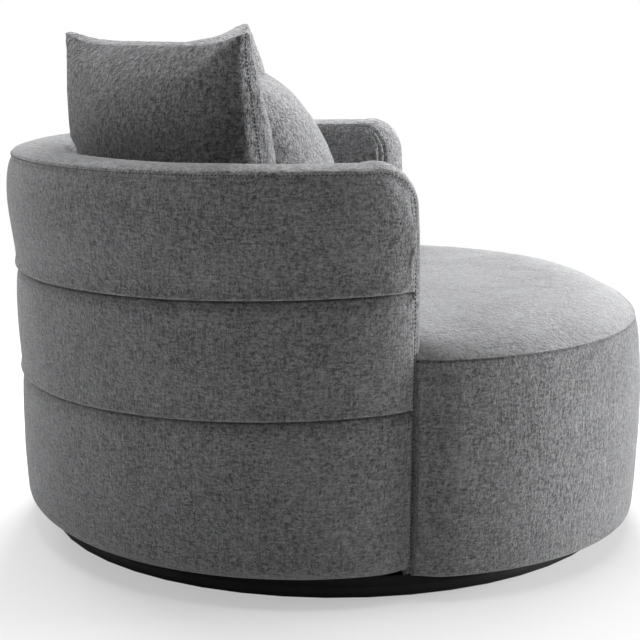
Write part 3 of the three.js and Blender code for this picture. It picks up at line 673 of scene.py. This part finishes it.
def corner_share(s):
    """How far a place is round the front corner of its arm, from 0 behind it to 1 at the front."""
    return min(max(1 - (HALF_LENGTH - abs(s)) / CORNER_RADIUS, 0.0), 1.0)


def top_edge(s):
    drop = CORNER_RADIUS * (1 - math.sqrt(1 - corner_share(s) ** 2))
    return TOP_SEAM - TOP_FALL_SHARE * depth_at(s) - drop


def upper_seam(s):
    return UPPER_SEAM - UPPER_FALL_SHARE * depth_at(s)


def lower_seam(s):
    return LOWER_SEAM - LOWER_FALL_SHARE * depth_at(s)


def skirt_bottom(s):
    """The same height all along the wall."""
    return SKIRT_BOTTOM


BANDS = {
    "lower": (skirt_bottom, lower_seam),
    "middle": (lower_seam, upper_seam),
    "upper": (upper_seam, top_edge),
}


def band_of(s, z):
    if z >= upper_seam(s):
        return "upper"
    return "middle" if z >= lower_seam(s) else "lower"


def edge_distance(s, z):
    """How far a place on the outside is from the arm's front edge, and how far that edge is turned."""
    past = abs(s) - FLAT_LENGTH
    if past <= 0:
        return CORNER_RADIUS, 0.0
    above = z - (TOP_SEAM - TOP_FALL_SHARE * depth_at(s) - CORNER_RADIUS)
    if above <= 0:
        return CORNER_RADIUS - past, 1.0
    reach = math.hypot(past, above)
    return CORNER_RADIUS - reach, past / reach


def crown_at(bend):
    """How high the strip stands at its middle."""
    return RIM_CROWN + (ARM_CROWN - RIM_CROWN) * bend ** CORNER_CROWN_POWER


def seam_height(bend):
    """How far in front of the wall's end the arm's seam lies."""
    return crown_at(bend) * math.sqrt(math.sin(math.pi * ARM_SEAM_SHARE * bend))


def edge_rounding(distance, bend):
    """How far the rounded front edge of an arm falls back from the wall's outside."""
    if bend == 0.0:
        return 0.0
    radius = ARM_EDGE_RADIUS * bend
    share = max(radius - distance, 0.0) / (radius + seam_height(bend))
    return ARM_EDGE_FALL * bend * share ** ARM_EDGE_POWER


def wall_spots(step):
    """Lengths along the wall at which its pieces have a row of points."""
    corner = FLAT_LENGTH + CORNER_RADIUS * np.sin(np.linspace(0, math.pi / 2, CORNER_STEPS))
    main = np.linspace(-FLAT_LENGTH, FLAT_LENGTH, int(2 * FLAT_LENGTH / step))
    return np.unique(np.round(np.concatenate([-corner, main, corner]), 6))


# The three bands of the wall's outside
def stuffed(point, amount):
    """How far padding swells or sinks at a point: broad and narrow unevenness."""
    return amount * (smooth_noise(point, 7, seed=3.1) + 0.45 * smooth_noise(point, 24, seed=8.2))


def face_inward(name, s, z):
    """How far in from the wall's outside the padded face of a band lies at a place."""
    bottom, top = BANDS[name]
    low, high = bottom(s), top(s)
    bulge, skew = BULGES[name]
    share = min(max((z - low) / (high - low), 0.0), 1.0)
    inward = -bulge * math.sin(math.pi * share ** skew)
    if name == "lower":
        inward += SKIRT_RADIUS * round_fall(z - low, SKIRT_RADIUS)
    else:
        inward -= LIP_OUT * hump(z - low, LIP_REACH)
        inward += LIP_DEPTH * round_fall(z - low, LIP_HEIGHT)
    if name == "upper":
        fade = 1 - corner_share(s)
        inward += fade * RIM_TUCK_DEPTH * hump(high - z, RIM_TUCK_REACH)
    else:
        inward += TUCK_DEPTH * hump(high - z, TUCK_REACH)
        inward += SLOT_DEPTH * hump(high - z, SLOT_REACH)
    return inward


def face_point(name, s, z):
    """A point of a band's padded face, with its unevenness."""
    distance, bend = edge_distance(s, z)
    inward = face_inward(name, s, z) + edge_rounding(distance, bend)
    point = wall_point(s, z, inward)
    fade = min(max(distance, 0.0) / PAD_FADE, 1.0)
    return wall_point(s, z, inward + fade * stuffed(point, PAD_UNEVENNESS))


def band_cover(name):
    bottom, top = BANDS[name]
    rows = []
    for s in wall_spots(WALL_STEP):
        low, high = bottom(s), top(s) - BAND_GAP
        row = [face_point(name, s, z) for z in spaced(low, high, FACE_ROWS)]
        row.append(wall_point(s, high, PAD_DEPTH))
        if name == "lower":
            fold = low + SKIRT_FOLD_HEIGHT
            row += [wall_point(s, fold, PAD_DEPTH), wall_point(s, fold, SKIRT_FOLD_DEPTH)]
        row.append(wall_point(s, low, SKIRT_FOLD_DEPTH if name == "lower" else PAD_DEPTH))
        rows.append(row)
    return grid_object(f"{name}_band_cover", rows, WALL_CLOTH, close_columns=True, caps=True)


for band_name in BANDS:
    declare(band_cover(band_name), "chair", "upholstery", f"{band_name}_back_band", fill=0.9)

# The strip along the rim and down both arm fronts
CORNER_TOP = top_edge(FLAT_LENGTH)
FRONT_TOP = CORNER_TOP - CORNER_RADIUS


def front_heights():
    """Heights of the rows down an arm front, closer together at the seams of the bands."""
    heights = list(np.linspace(SKIRT_BOTTOM, FRONT_TOP, ARM_FRONT_ROWS)[:-1])
    for seam in (lower_seam(HALF_LENGTH), upper_seam(HALF_LENGTH)):
        heights += list(seam + CREASE_REACH * np.linspace(-1, 1, CREASE_ROWS) ** 3)
    turn = np.linspace(0, math.pi / 2, ARM_FOOT_ROWS)
    heights += list(SKIRT_BOTTOM + SKIRT_RADIUS * (1 - np.cos(turn)))
    return sorted(set(np.round(heights, 5)))


def strip_path():
    """Rows of the strip in order: which arm, what stretch, and the place on it."""
    heights = front_heights()
    turn = np.linspace(0, math.pi / 2, CORNER_ROWS)
    path = [(-1, "front", z) for z in heights]
    path += [(-1, "corner", angle) for angle in turn[::-1][:-1]]
    path += [(0, "rim", s) for s in np.linspace(-FLAT_LENGTH, FLAT_LENGTH, RIM_ROWS)]
    path += [(1, "corner", angle) for angle in turn[1:]]
    path += [(1, "front", z) for z in heights[::-1]]
    return path


def strip_turn(kind, value):
    return {"front": math.pi / 2, "rim": 0.0}.get(kind, value)


def strip_height(share, seam, bend):
    """Height of the strip over its edge, with a groove at each seam."""
    if share < seam:
        height = seam_height(bend) * share / seam
    else:
        height = crown_at(bend) * math.sqrt(max(math.sin(math.pi * share), 0.0))
    for seam_share in (seam, 1 - seam):
        height -= GROOVE_DEPTH * hump((share - seam_share) * RIM_WIDTH, GROOVE_WIDTH)
    return height


def strip_point(side, kind, value, share, sunk=0.0):
    """A point of the strip's surface, share of its width in from the outside."""
    turn = strip_turn(kind, value)
    bend = math.sin(turn)
    seam = ARM_SEAM_SHARE * bend
    height = strip_height(share, seam, bend)
    if share < seam:
        fade = 1 - (share / seam) ** 3
        inward = edge_rounding(-height, bend)
    else:
        fade = 0.0
        fall = ARM_EDGE_FALL * bend
        inward = fall + (RIM_WIDTH - fall) * (share - seam) / (1 - seam)
    if kind == "front":
        below = FRONT_TOP - value
        height *= 1 + ARM_FOOT_STRETCH * (1 - math.exp(-below / ARM_FOOT_REACH))
    height -= sunk
    if kind == "rim":
        point = wall_point(value, top_edge(value) + height, inward)
    else:
        edge = side * (FLAT_LENGTH + CORNER_RADIUS * bend)
        edge_z = value if kind == "front" else CORNER_TOP - CORNER_RADIUS * (1 - math.cos(turn))
        if kind == "front":
            height -= (1 - fade) * ARM_FOOT_FALL * round_fall(value - SKIRT_BOTTOM, SKIRT_RADIUS)
        inward += fade * face_inward(band_of(edge, edge_z), edge, edge_z)
        point = wall_point(edge + side * height * bend, edge_z + height * math.cos(turn), inward)
    uneven = RIM_UNEVENNESS * smooth_noise(point, 9, seed=1.3) * (1 - bend)
    return point + Vector((0, 0, uneven))


def strip_cover():
    edge = np.linspace(0, STRIP_EDGE_SHARE, STRIP_EDGE_COLUMNS)
    shares = 0.5 - 0.5 * np.cos(np.linspace(0, math.pi, STRIP_COLUMNS))
    shares = np.unique(np.concatenate([shares, edge, 1 - edge]))
    rows = []
    for place in strip_path():
        row = [strip_point(*place, 0.0, STRIP_SUNK)]
        row += [strip_point(*place, share) for share in shares]
        row.append(strip_point(*place, 1.0, STRIP_SUNK))
        rows.append(row)
    # The strip wears the lighter copy of the cloth: painted light.
    return grid_object("rim_and_arm_strip", rows, STRIP_CLOTH_PAINTED_LIGHT, close_columns=True, caps=True)


def seam_line(outer):
    """The strip's seam, a little above the bottom of its groove."""
    line = []
    for side, kind, value in strip_path():
        share = ARM_SEAM_SHARE * math.sin(strip_turn(kind, value)) + THREAD_SHARE
        line.append(strip_point(side, kind, value, share if outer else 1 - share, -THREAD_RISE))
    return line


declare(strip_cover(), "chair", "upholstery", "rim_strip", "right_arm_front", "left_arm_front", fill=0.85)
declare(stitches("outer_rim_stitches", seam_line(True)), "chair", "upholstery")
declare(stitches("inner_rim_stitches", seam_line(False)), "chair", "upholstery")


# The lining
def lining_section(high):
    """Depth and height of the lining's points, from its foot up its face and over its rounded top."""
    section = [(LINING_DEPTH, LINING_BOTTOM), (WALL_THICKNESS - LINING_FOOT_IN, LINING_BOTTOM)]
    roll_foot = high - LINING_ROLL_HEIGHT
    for z in spaced(LINING_FACE_BOTTOM, roll_foot, LINING_ROWS):
        swell = LINING_SWELL * math.sin(math.pi * (z - LINING_BOTTOM) / (high - LINING_BOTTOM))
        section.append((WALL_THICKNESS + swell, z))
    for angle in np.linspace(LINING_ROLL_START, math.pi / 2, LINING_ROLL_ROWS):
        depth = RIM_WIDTH - LINING_ROLL_IN + LINING_ROLL_DEPTH * math.cos(angle)
        section.append((depth, roll_foot + LINING_ROLL_HEIGHT * math.sin(angle)))
    section.append((LINING_DEPTH, high - LINING_TOP_GAP))
    return section


def lining_cover():
    rows = [[wall_point(s, z, inward) for inward, z in lining_section(top_edge(s))]
            for s in wall_spots(LINING_STEP)]
    # The lining wears the lighter copy of the cloth: painted light.
    return grid_object("lining_cover", rows, STRIP_CLOTH_PAINTED_LIGHT, close_columns=True, caps=True)


declare(lining_cover(), "chair", "upholstery", "inside_lining", fill=0.85)

# The drum seat
DRUM_ANGLES = np.linspace(0, 2 * math.pi, DRUM_STEPS, endpoint=False)


def drum_point(angle, z, inward, share=1.0):
    """A point of the drum. Angle zero is the middle of its front. It is dented where the arms join it."""
    power = 2 / SEAT_SQUARENESS
    across, ahead = math.sin(angle), math.cos(angle)
    depth = SEAT_FRONT if ahead > 0 else SEAT_BACK
    past = max(JOINT_Y + depth * signed_power(ahead, power), 0.0)
    inward += share ** JOINT_POWER * JOINT_DENT * hump(past, JOINT_REACH)
    x = share * (SEAT_HALF_WIDTH - inward) * signed_power(across, power)
    y = -share * (depth - inward) * signed_power(ahead, power)
    return Vector((x, y, z))


def dome_height(share, ahead):
    """Height of the seat over its seam. Share is 1 at the seam, ahead is 1 at the middle of the front."""
    turned = max(ahead, 0.0) ** 2
    rise = SEAT_RISE_POWER + (SEAT_RISE_POWER_AHEAD - SEAT_RISE_POWER) * turned
    edge = SEAT_EDGE_POWER + (SEAT_EDGE_POWER_AHEAD - SEAT_EDGE_POWER) * turned
    return SEAT_CROWN * (1 - share ** rise) ** edge


def seat_cover():
    rows = [[drum_point(a, SEAT_SEAM - SEAT_LIP_DROP, SEAT_LIP_DEPTH) for a in DRUM_ANGLES]]
    for share in (*SEAT_EDGE_SHARES, *np.linspace(*SEAT_INNER_SHARES, SEAT_ROWS)):
        row = []
        fade = min(1.0, (1 - share) / SEAT_FADE)
        for angle in DRUM_ANGLES:
            dome = dome_height(share, math.cos(angle))
            point = drum_point(angle, SEAT_SEAM + dome, SEAT_EDGE_IN * share ** SEAT_EDGE_IN_POWER, share)
            broad = 0.0018 * smooth_noise(point, 4.5, seed=7.7)
            narrow = 0.0008 * smooth_noise(point, 17, seed=1.9)
            point.z += fade * (broad + narrow)
            row.append(point)
        rows.append(row)
    return grid_object("seat_cover", rows, SEAT_CLOTH, close_columns=True, caps=True)


def drum_profile():
    """Depth and height of the drum side's rows: round its bottom edge, up its face and down behind it."""
    low, top = SKIRT_BOTTOM + DRUM_BOTTOM_RADIUS, SEAT_SEAM - BAND_GAP
    profile = [(DRUM_FOLD_DEPTH, DRUM_FOLD_HEIGHT), (DRUM_FOLD_DEPTH, SKIRT_BOTTOM)]
    for turn in np.linspace(0, math.pi / 2, DRUM_BOTTOM_ROWS):
        depth = DRUM_BOTTOM_RADIUS * (1 - math.sin(turn))
        profile.append((depth, SKIRT_BOTTOM + DRUM_BOTTOM_RADIUS * (1 - math.cos(turn))))
    for z in spaced(low, top, FACE_ROWS)[1:]:
        bulge = DRUM_BULGE * math.sin(math.pi * (z - low) / (top - low)) ** DRUM_BULGE_POWER
        roll = SEAT_EDGE_IN * hump(top - z, DRUM_ROLL_REACH)
        profile.append((roll + DRUM_SEAM_DEPTH * hump(top - z, DRUM_SEAM_REACH) - bulge, z))
    return profile + [(PAD_DEPTH, top), (PAD_DEPTH, DRUM_FOLD_HEIGHT)]


def drum_side():
    rows = []
    for inward, z in drum_profile():
        row = []
        sag = 0.0
        if z < DRUM_SAG_TOP and inward < DRUM_SAG_DEPTH:
            sag = DRUM_SAG * max(0.0, 1 - (z - SKIRT_BOTTOM) / DRUM_SAG_HEIGHT) ** 2
        for angle in DRUM_ANGLES:
            front = max(0.0, math.cos(angle)) ** 0.5
            depth = inward - DRUM_SAG_OUT_SHARE * sag * front
            point = drum_point(angle, z - sag * front, depth)
            if inward < DRUM_FACE_DEPTH:
                point = drum_point(angle, point.z, depth - stuffed(point, DRUM_UNEVENNESS))
            row.append(point)
        rows.append(row)
    return grid_object("drum_side_cover", rows, WALL_CLOTH, close_rows=True, close_columns=True)


def wall_block():
    """A block that fills the wall and its arm fronts, for cutting the pieces of the drum."""
    reach = HALF_LENGTH + CUT_REACH_SHARE * ARM_CROWN
    section = (
        (CUT_OUTSIDE, CUT_BOTTOM), (CUT_INSIDE, CUT_BOTTOM),
        (CUT_INSIDE, CUT_TOP), (CUT_OUTSIDE, CUT_TOP),
    )
    rows = [[wall_point(s, z, inward) for inward, z in section]
            for s in (-reach, *wall_spots(CUT_STEP), reach)]
    return grid_object("wall_block", rows, WALL_CLOTH, close_columns=True, caps=True)


def drum_seat():
    """The seat's top and side, both cut clear of the wall."""
    block = wall_block()
    top = seat_cover()
    side = drum_side()
    cut_with(top, block)
    cut_with(side, block)
    bpy.data.objects.remove(block)
    declare(top, "chair", "upholstery", "seat_top", fill=0.8)
    declare(side, "chair", "upholstery", "seat_border", fill=0.9)


drum_seat()


# The plinth
def plinth_cover():
    """Both boards of the plinth, with eased edges and the joint between them."""
    radius, ease, joint = PLINTH_RADIUS, PLINTH_EASE, (PLINTH_BOTTOM + PLINTH_TOP) / 2
    profile = (
        (PLINTH_INNER_RADIUS, PLINTH_BOTTOM), (radius - ease, PLINTH_BOTTOM),
        (radius - ease / 3, PLINTH_BOTTOM + ease / 3), (radius, PLINTH_BOTTOM + ease),
        (radius, joint - PLINTH_JOINT_HALF_GAP), (radius - PLINTH_JOINT_DEPTH, joint),
        (radius, joint + PLINTH_JOINT_HALF_GAP), (radius, PLINTH_TOP - ease),
        (radius - ease / 3, PLINTH_TOP - ease / 3), (radius - ease, PLINTH_TOP),
        (PLINTH_INNER_RADIUS, PLINTH_TOP),
    )
    rows = [[Vector((reach * math.cos(a), reach * math.sin(a), z)) for a in DRUM_ANGLES]
            for reach, z in profile]
    return grid_object("plinth_cover", rows, BLACK, close_columns=True, close_rows=True)


declare(plinth_cover(), "base", "plinth_board")


# Cushions: two panels sewn at their edges and puckered at the seam
class Cushion:
    """Size and place of a loose cushion. It faces -Y until it is turned."""

    def __init__(self, facing, lean, roll, width, height, thickness, fullness, spread, draw_in, ear,
                 seam_shift, nudge):
        self.turn = (Matrix.Rotation(facing, 4, "Z") @ Matrix.Rotation(-lean, 4, "X")
                     @ Matrix.Rotation(-roll, 4, "Y"))
        self.width, self.height, self.thickness = width, height, thickness
        self.fullness, self.spread, self.draw_in = fullness, spread, draw_in
        self.ear, self.seam_shift, self.nudge = ear, seam_shift, Vector(nudge)

    def point(self, u, v, face):
        """A point of its cover: u and v run from -1 to 1 across it and up it."""
        corner = CUSHION_CORNER_CUT * (abs(u) * abs(v)) ** CUSHION_CORNER_POWER
        sag = CUSHION_TOP_SAG if v > 0 else CUSHION_BOTTOM_SAG
        across, up = CUSHION_EAR_POWERS
        x = u * (1 - self.spread * v) * (self.width / 2 - self.draw_in * (1 - v * v) - corner)
        x += self.ear * u * u ** across * max(v, 0.0) ** up
        z = v * (self.height / 2 - sag * (1 - u ** CUSHION_SAG_POWER) - corner)
        full = ((1 - u * u) * (1 - v * v)) ** self.fullness
        depth = CUSHION_EDGE * abs(face)
        depth += (self.thickness * CUSHION_START_SHARE / 2 - CUSHION_EDGE) * full
        return Vector((x, face * depth + self.seam_shift * (1 - full), z + self.height / 2))


def cushion_panels(form):
    """Front and back panels with one seam, each point's u, v and face, and the points of the seam."""
    count = CUSHION_CELLS
    line = np.linspace(-1, 1, count + 1)
    shares = (1 - CUSHION_EDGE_GATHER) * line + CUSHION_EDGE_GATHER * np.sin(line * math.pi / 2)
    vertices, places, index = [], [], {}
    for face in (-1, 1):
        for row in range(count + 1):
            for column in range(count + 1):
                on_seam = row in (0, count) or column in (0, count)
                if on_seam and face == 1:
                    index[face, row, column] = index[-1, row, column]
                    continue
                index[face, row, column] = len(vertices)
                place = (float(shares[column]), float(shares[row]), 0 if on_seam else face)
                vertices.append(form.point(*place))
                places.append(place)
    faces = []
    for face in (-1, 1):
        for row in range(count):
            for column in range(count):
                corners = ((row, column), (row, column + 1), (row + 1, column + 1), (row + 1, column))
                ring = [index[face, r, c] for r, c in corners]
                faces.append(ring if face == -1 else ring[::-1])
    along = range(count)
    rim = [(0, i) for i in along] + [(i, count) for i in along]
    rim += [(count, count - i) for i in along] + [(count - i, 0) for i in along] + [(0, 0)]
    return vertices, faces, places, [index[-1, r, c] for r, c in rim]


def fill_with_air(piece):
    """Runs a short cloth simulation on a closed cover and keeps its result in the mesh."""
    start = np.array([v.co for v in piece.data.vertices])
    modifier = piece.modifiers.new("fill", "CLOTH")
    cloth = modifier.settings
    cloth.quality = 6
    cloth.mass = 0.25
    cloth.tension_stiffness = 20
    cloth.compression_stiffness = 20
    cloth.shear_stiffness = 8
    cloth.bending_stiffness = 0.5
    cloth.air_damping = 2
    cloth.use_pressure = True
    cloth.uniform_pressure_force = CUSHION_PRESSURE
    cloth.effector_weights.gravity = 0
    for step in range(1, CUSHION_FILL_FRAMES + 1):
        scene.frame_set(step)
    apply_modifiers(piece)
    scene.frame_set(1)
    moved = np.array([v.co for v in piece.data.vertices]) - start
    size = np.linalg.norm(moved, axis=1, keepdims=True)
    moved *= CUSHION_CAP / (size + CUSHION_CAP)
    piece.data.vertices.foreach_set("co", (start + moved).ravel())
    piece.data.update()


def seam_pull(u, v, along, seed):
    """How a point of the seam moves when the thread is drawn tight."""
    inward = Vector((-u if abs(u) >= abs(v) else 0, 0, -v if abs(v) >= abs(u) else 0))
    gather = 0.35 * CUSHION_SEAM_DEPTH * smooth_noise((along * 60, seed, u), 1.0)
    return inward * (CUSHION_SEAM_DEPTH + gather)


def pucker_lift(near, along, face, seed):
    """Small gathers across the seam."""
    wobble = 1.3 * smooth_noise((along * 16, seed, face), 1.0)
    strength = 0.6 + 0.8 * smooth_noise((along * 9, face, seed), 1.0)
    pucker = math.sin(2 * math.pi * (along / PUCKER_LENGTH + wobble)) * math.exp(-near / PUCKER_REACH)
    return PUCKER_HEIGHT * strength * pucker * min(near / PUCKER_EDGE, 1.0)


def fold_lift(co, corner_x, corner_z, near, side, face, seed):
    """Soft folds that run down from an upper corner."""
    across, down = co.x - corner_x, co.z - corner_z
    reach = math.hypot(across, down)
    angle = math.atan2(down, across * -side)
    fold = smooth_noise((angle * 4.2, reach * 3.0, seed + side + 2 * face), 1.0)
    return FOLD_HEIGHT * fold * hump(reach, FOLD_REACH) * min(near / FOLD_EDGE, 1.0)


def gather_seams(piece, places, width, height, seed):
    """Pulls the seam in, gathers small puckers along it and runs soft folds down from the top corners."""
    piece.data.update()
    normals = [v.normal.copy() for v in piece.data.vertices]
    for vertex, normal, (u, v, face) in zip(piece.data.vertices, normals, places):
        from_side = (1 - abs(u)) * width / 2
        from_end = (1 - abs(v)) * height / 2
        near = min(from_side, from_end)
        along = vertex.co.z if from_side < from_end else vertex.co.x
        if face == 0:
            vertex.co += seam_pull(u, v, along, seed)
            continue
        lift = pucker_lift(near, along, face, seed)
        for side in (-1, 1):
            lift += fold_lift(vertex.co, side * width / 2, height, near, side, face, seed)
        lift += LUMP_HEIGHT * smooth_noise(vertex.co, 9.0, seed) * min(near / LUMP_EDGE, 1.0)
        lift += RIPPLE_HEIGHT * smooth_noise(vertex.co, 26.0, seed + 4) * min(near / RIPPLE_EDGE, 1.0)
        vertex.co += normal * lift


def seat_height(x, y):
    depth = SEAT_FRONT if y < 0 else SEAT_BACK
    total = abs(x / SEAT_HALF_WIDTH) ** SEAT_SQUARENESS + abs(y / depth) ** SEAT_SQUARENESS
    share = min(total ** (1 / SEAT_SQUARENESS), 1.0)
    ahead = (max(-y, 0.0) / (depth * max(share, 1e-6))) ** (SEAT_SQUARENESS / 2)
    return SEAT_SEAM + dome_height(share, min(ahead, 1.0))


def squash_in(point):
    """Keeps a point of a cushion on the seat and inside the wall, pressed flat where it would go in."""
    gap = WALL_THICKNESS + taper(point.z) + CUSHION_WALL_GAP
    wide, deep = HALF_WIDTH - gap, HALF_DEPTH - gap
    reach = math.hypot(point.x / wide, (point.y - CENTRE_BACK) / deep)
    free = 1 - CUSHION_SOFTENING
    if reach > free:
        held = free + CUSHION_SOFTENING * (1 - math.exp(-(reach - free) / CUSHION_SOFTENING))
        low = min(max((RIM_CLEAR_HEIGHT - point.z) / RIM_CLEAR_FADE, 0.0), 1.0)
        factor = 1 + (held / reach - 1) * low
        point = Vector((point.x * factor, CENTRE_BACK + (point.y - CENTRE_BACK) * factor, point.z))
    return Vector((point.x, point.y, max(point.z, seat_height(point.x, point.y) + CUSHION_SEAT_GAP)))


def set_down(piece, form, low, high):
    """Turns a cushion, centres it on its solid's box, sets it on the seat and squashes it in."""
    piece.data.transform(form.turn)
    points = np.array([v.co for v in piece.data.vertices])
    middle = Vector((points.min(0) + points.max(0)) / 2)
    shift = (low + high) / 2 - middle + form.nudge
    shift.z = low.z - points[:, 2].min() - CUSHION_SIT
    for vertex in piece.data.vertices:
        vertex.co = squash_in(vertex.co + shift)
    piece.data.update()


def cushion(name, node, form):
    vertices, faces, places, rim = cushion_panels(form)
    piece = mesh_object(name, vertices, faces, CUSHION_CLOTH, merge=False)
    fill_with_air(piece)
    gather_seams(piece, places, form.width, form.height, seed=float(len(node)))
    smooth = piece.modifiers.new("round", "SUBSURF")
    smooth.levels = smooth.render_levels = 1
    apply_modifiers(piece)
    shade_smooth(piece.data)
    set_down(piece, form, *(Vector(corner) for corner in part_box(node)))
    declare(piece, node, "cushion", node, fill=0.75)
    middle = Vector(np.array([v.co for v in piece.data.vertices]).mean(0))
    # Near-black threads along both side seams, which also paint the seams' shade line.
    sides = {"right": rim[CUSHION_CELLS:2 * CUSHION_CELLS + 1], "left": rim[3 * CUSHION_CELLS:]}
    for side, part in sides.items():
        line = [piece.data.vertices[i].co.copy() for i in part]
        line = [co + (co - middle).normalized() * CUSHION_THREAD_OUT for co in line]
        declare(stitches(f"{name}_{side}_stitches", line), node, "cushion")


RIGHT_CUSHION = Cushion(
    facing=0.792, lean=0.134, roll=0.0, width=0.541, height=0.516, thickness=0.234, fullness=0.60,
    spread=0.045, draw_in=0.001, ear=0.013, seam_shift=0.010, nudge=(-0.004, 0.004, 0.0))
LEFT_CUSHION = Cushion(
    facing=-0.561, lean=0.183, roll=0.095, width=0.526, height=0.492, thickness=0.186, fullness=0.42,
    spread=0.047, draw_in=0.003, ear=0.004, seam_shift=0.0, nudge=(0.009, -0.013, 0.0))
CENTRE_CUSHION = Cushion(
    facing=-0.033, lean=0.366, roll=0.013, width=0.472, height=0.449, thickness=0.166, fullness=0.52,
    spread=0.05, draw_in=0.006, ear=0.004, seam_shift=0.022, nudge=(-0.007, 0.010, 0.0))
cushion("right_cushion_cover", "right_back_cushion", RIGHT_CUSHION)
cushion("left_cushion_cover", "left_back_cushion", LEFT_CUSHION)
cushion("centre_cushion_cover", "centre_cushion", CENTRE_CUSHION)


# Camera, floor and light
def camera():
    data = bpy.data.cameras.new("camera")
    data.sensor_width = SENSOR_WIDTH
    data.lens = FOCAL_PIXELS / PHOTO_WIDTH * SENSOR_WIDTH
    data.clip_end = CAMERA_CLIP
    cam = bpy.data.objects.new("camera", data)
    scene.collection.objects.link(cam)
    level = math.cos(CAMERA_PITCH)
    forward = Vector((math.cos(CAMERA_YAW) * level, -math.sin(CAMERA_YAW) * level, -math.sin(CAMERA_PITCH)))
    right = Vector((-math.sin(CAMERA_YAW), -math.cos(CAMERA_YAW), 0))
    up = right.cross(forward)
    turn = Matrix((right, up, -forward)).transposed().to_4x4()
    roll = Matrix.Rotation(CAMERA_ROLL, 4, "Z")
    cam.matrix_world = Matrix.Translation(CAMERA_PLACE) @ turn @ roll
    scene.camera = cam


def floor():
    """A pale floor that keeps the object's shadow and goes white away from it."""
    nodes = material_nodes("pale_floor")
    far = nodes.add("ShaderNodeVectorMath", operation="LENGTH")
    nodes.link(nodes.add("ShaderNodeTexCoord").outputs["Object"], far.inputs[0])
    white = nodes.ramp(far.outputs["Value"], WHITE_FROM, WHITE_TO, to_low=WHITE_LEAST)
    seen = nodes.add("ShaderNodeLightPath").outputs["Is Camera Ray"]
    diffuse = nodes.add("ShaderNodeBsdfDiffuse")
    nodes.feed(diffuse, "Color", FLOOR_GREY)
    plain = nodes.add("ShaderNodeEmission")
    nodes.feed(plain, "Color", WHITE)
    nodes.feed(plain, "Strength", 1.0)
    factor = nodes.math("MULTIPLY", white, seen)
    nodes.surface(nodes.mix_shaders(factor, diffuse.outputs[0], plain.outputs[0]))
    ends = (-FLOOR_HALF, FLOOR_HALF)
    corners = [[Vector((x, y, 0)) for y in ends] for x in ends]
    grid_object("floor", corners, nodes.owner)


def background(nodes, strength):
    node = nodes.add("ShaderNodeBackground")
    nodes.feed(node, "Color", WHITE)
    nodes.feed(node, "Strength", strength)
    return node.outputs[0]


def world():
    """Soft light from all round, and plain white where the camera, metal or glass sees past the object."""
    scene.world = bpy.data.worlds.new("world")
    nodes = Nodes(scene.world, "ShaderNodeOutputWorld")
    path = nodes.add("ShaderNodeLightPath").outputs
    mirrored = nodes.math("MAXIMUM", path["Is Glossy Ray"], path["Is Transmission Ray"])
    seen = nodes.math("MAXIMUM", path["Is Camera Ray"], mirrored)
    nodes.surface(nodes.mix_shaders(seen, background(nodes, WORLD_STRENGTH), background(nodes, 1.0)))


def area_light(name, place, size, power):
    data = bpy.data.lights.new(name, "AREA")
    data.shape = "RECTANGLE"
    data.size, data.size_y = size
    data.energy = power
    lamp = bpy.data.objects.new(name, data)
    scene.collection.objects.link(lamp)
    lamp.location = place
    lamp.rotation_euler = (Vector(LIGHT_AIM) - Vector(place)).to_track_quat("-Z", "Y").to_euler()


camera()
floor()
world()
area_light("low_front", place=(0.6, -4, 0.7), size=(2, 1.2), power=282)
area_light("top", place=(0, 0, 3.6), size=(2.5, 2.5), power=102)
area_light("top_far", place=(3.2, 0, 2.8), size=(2, 2), power=303)
area_light("rear_far", place=(3, 3, 2.2), size=(2, 2), power=108)
area_light("rear", place=(0, 4, 1.4), size=(2, 2), power=26)

scene.view_settings.view_transform = "Standard"
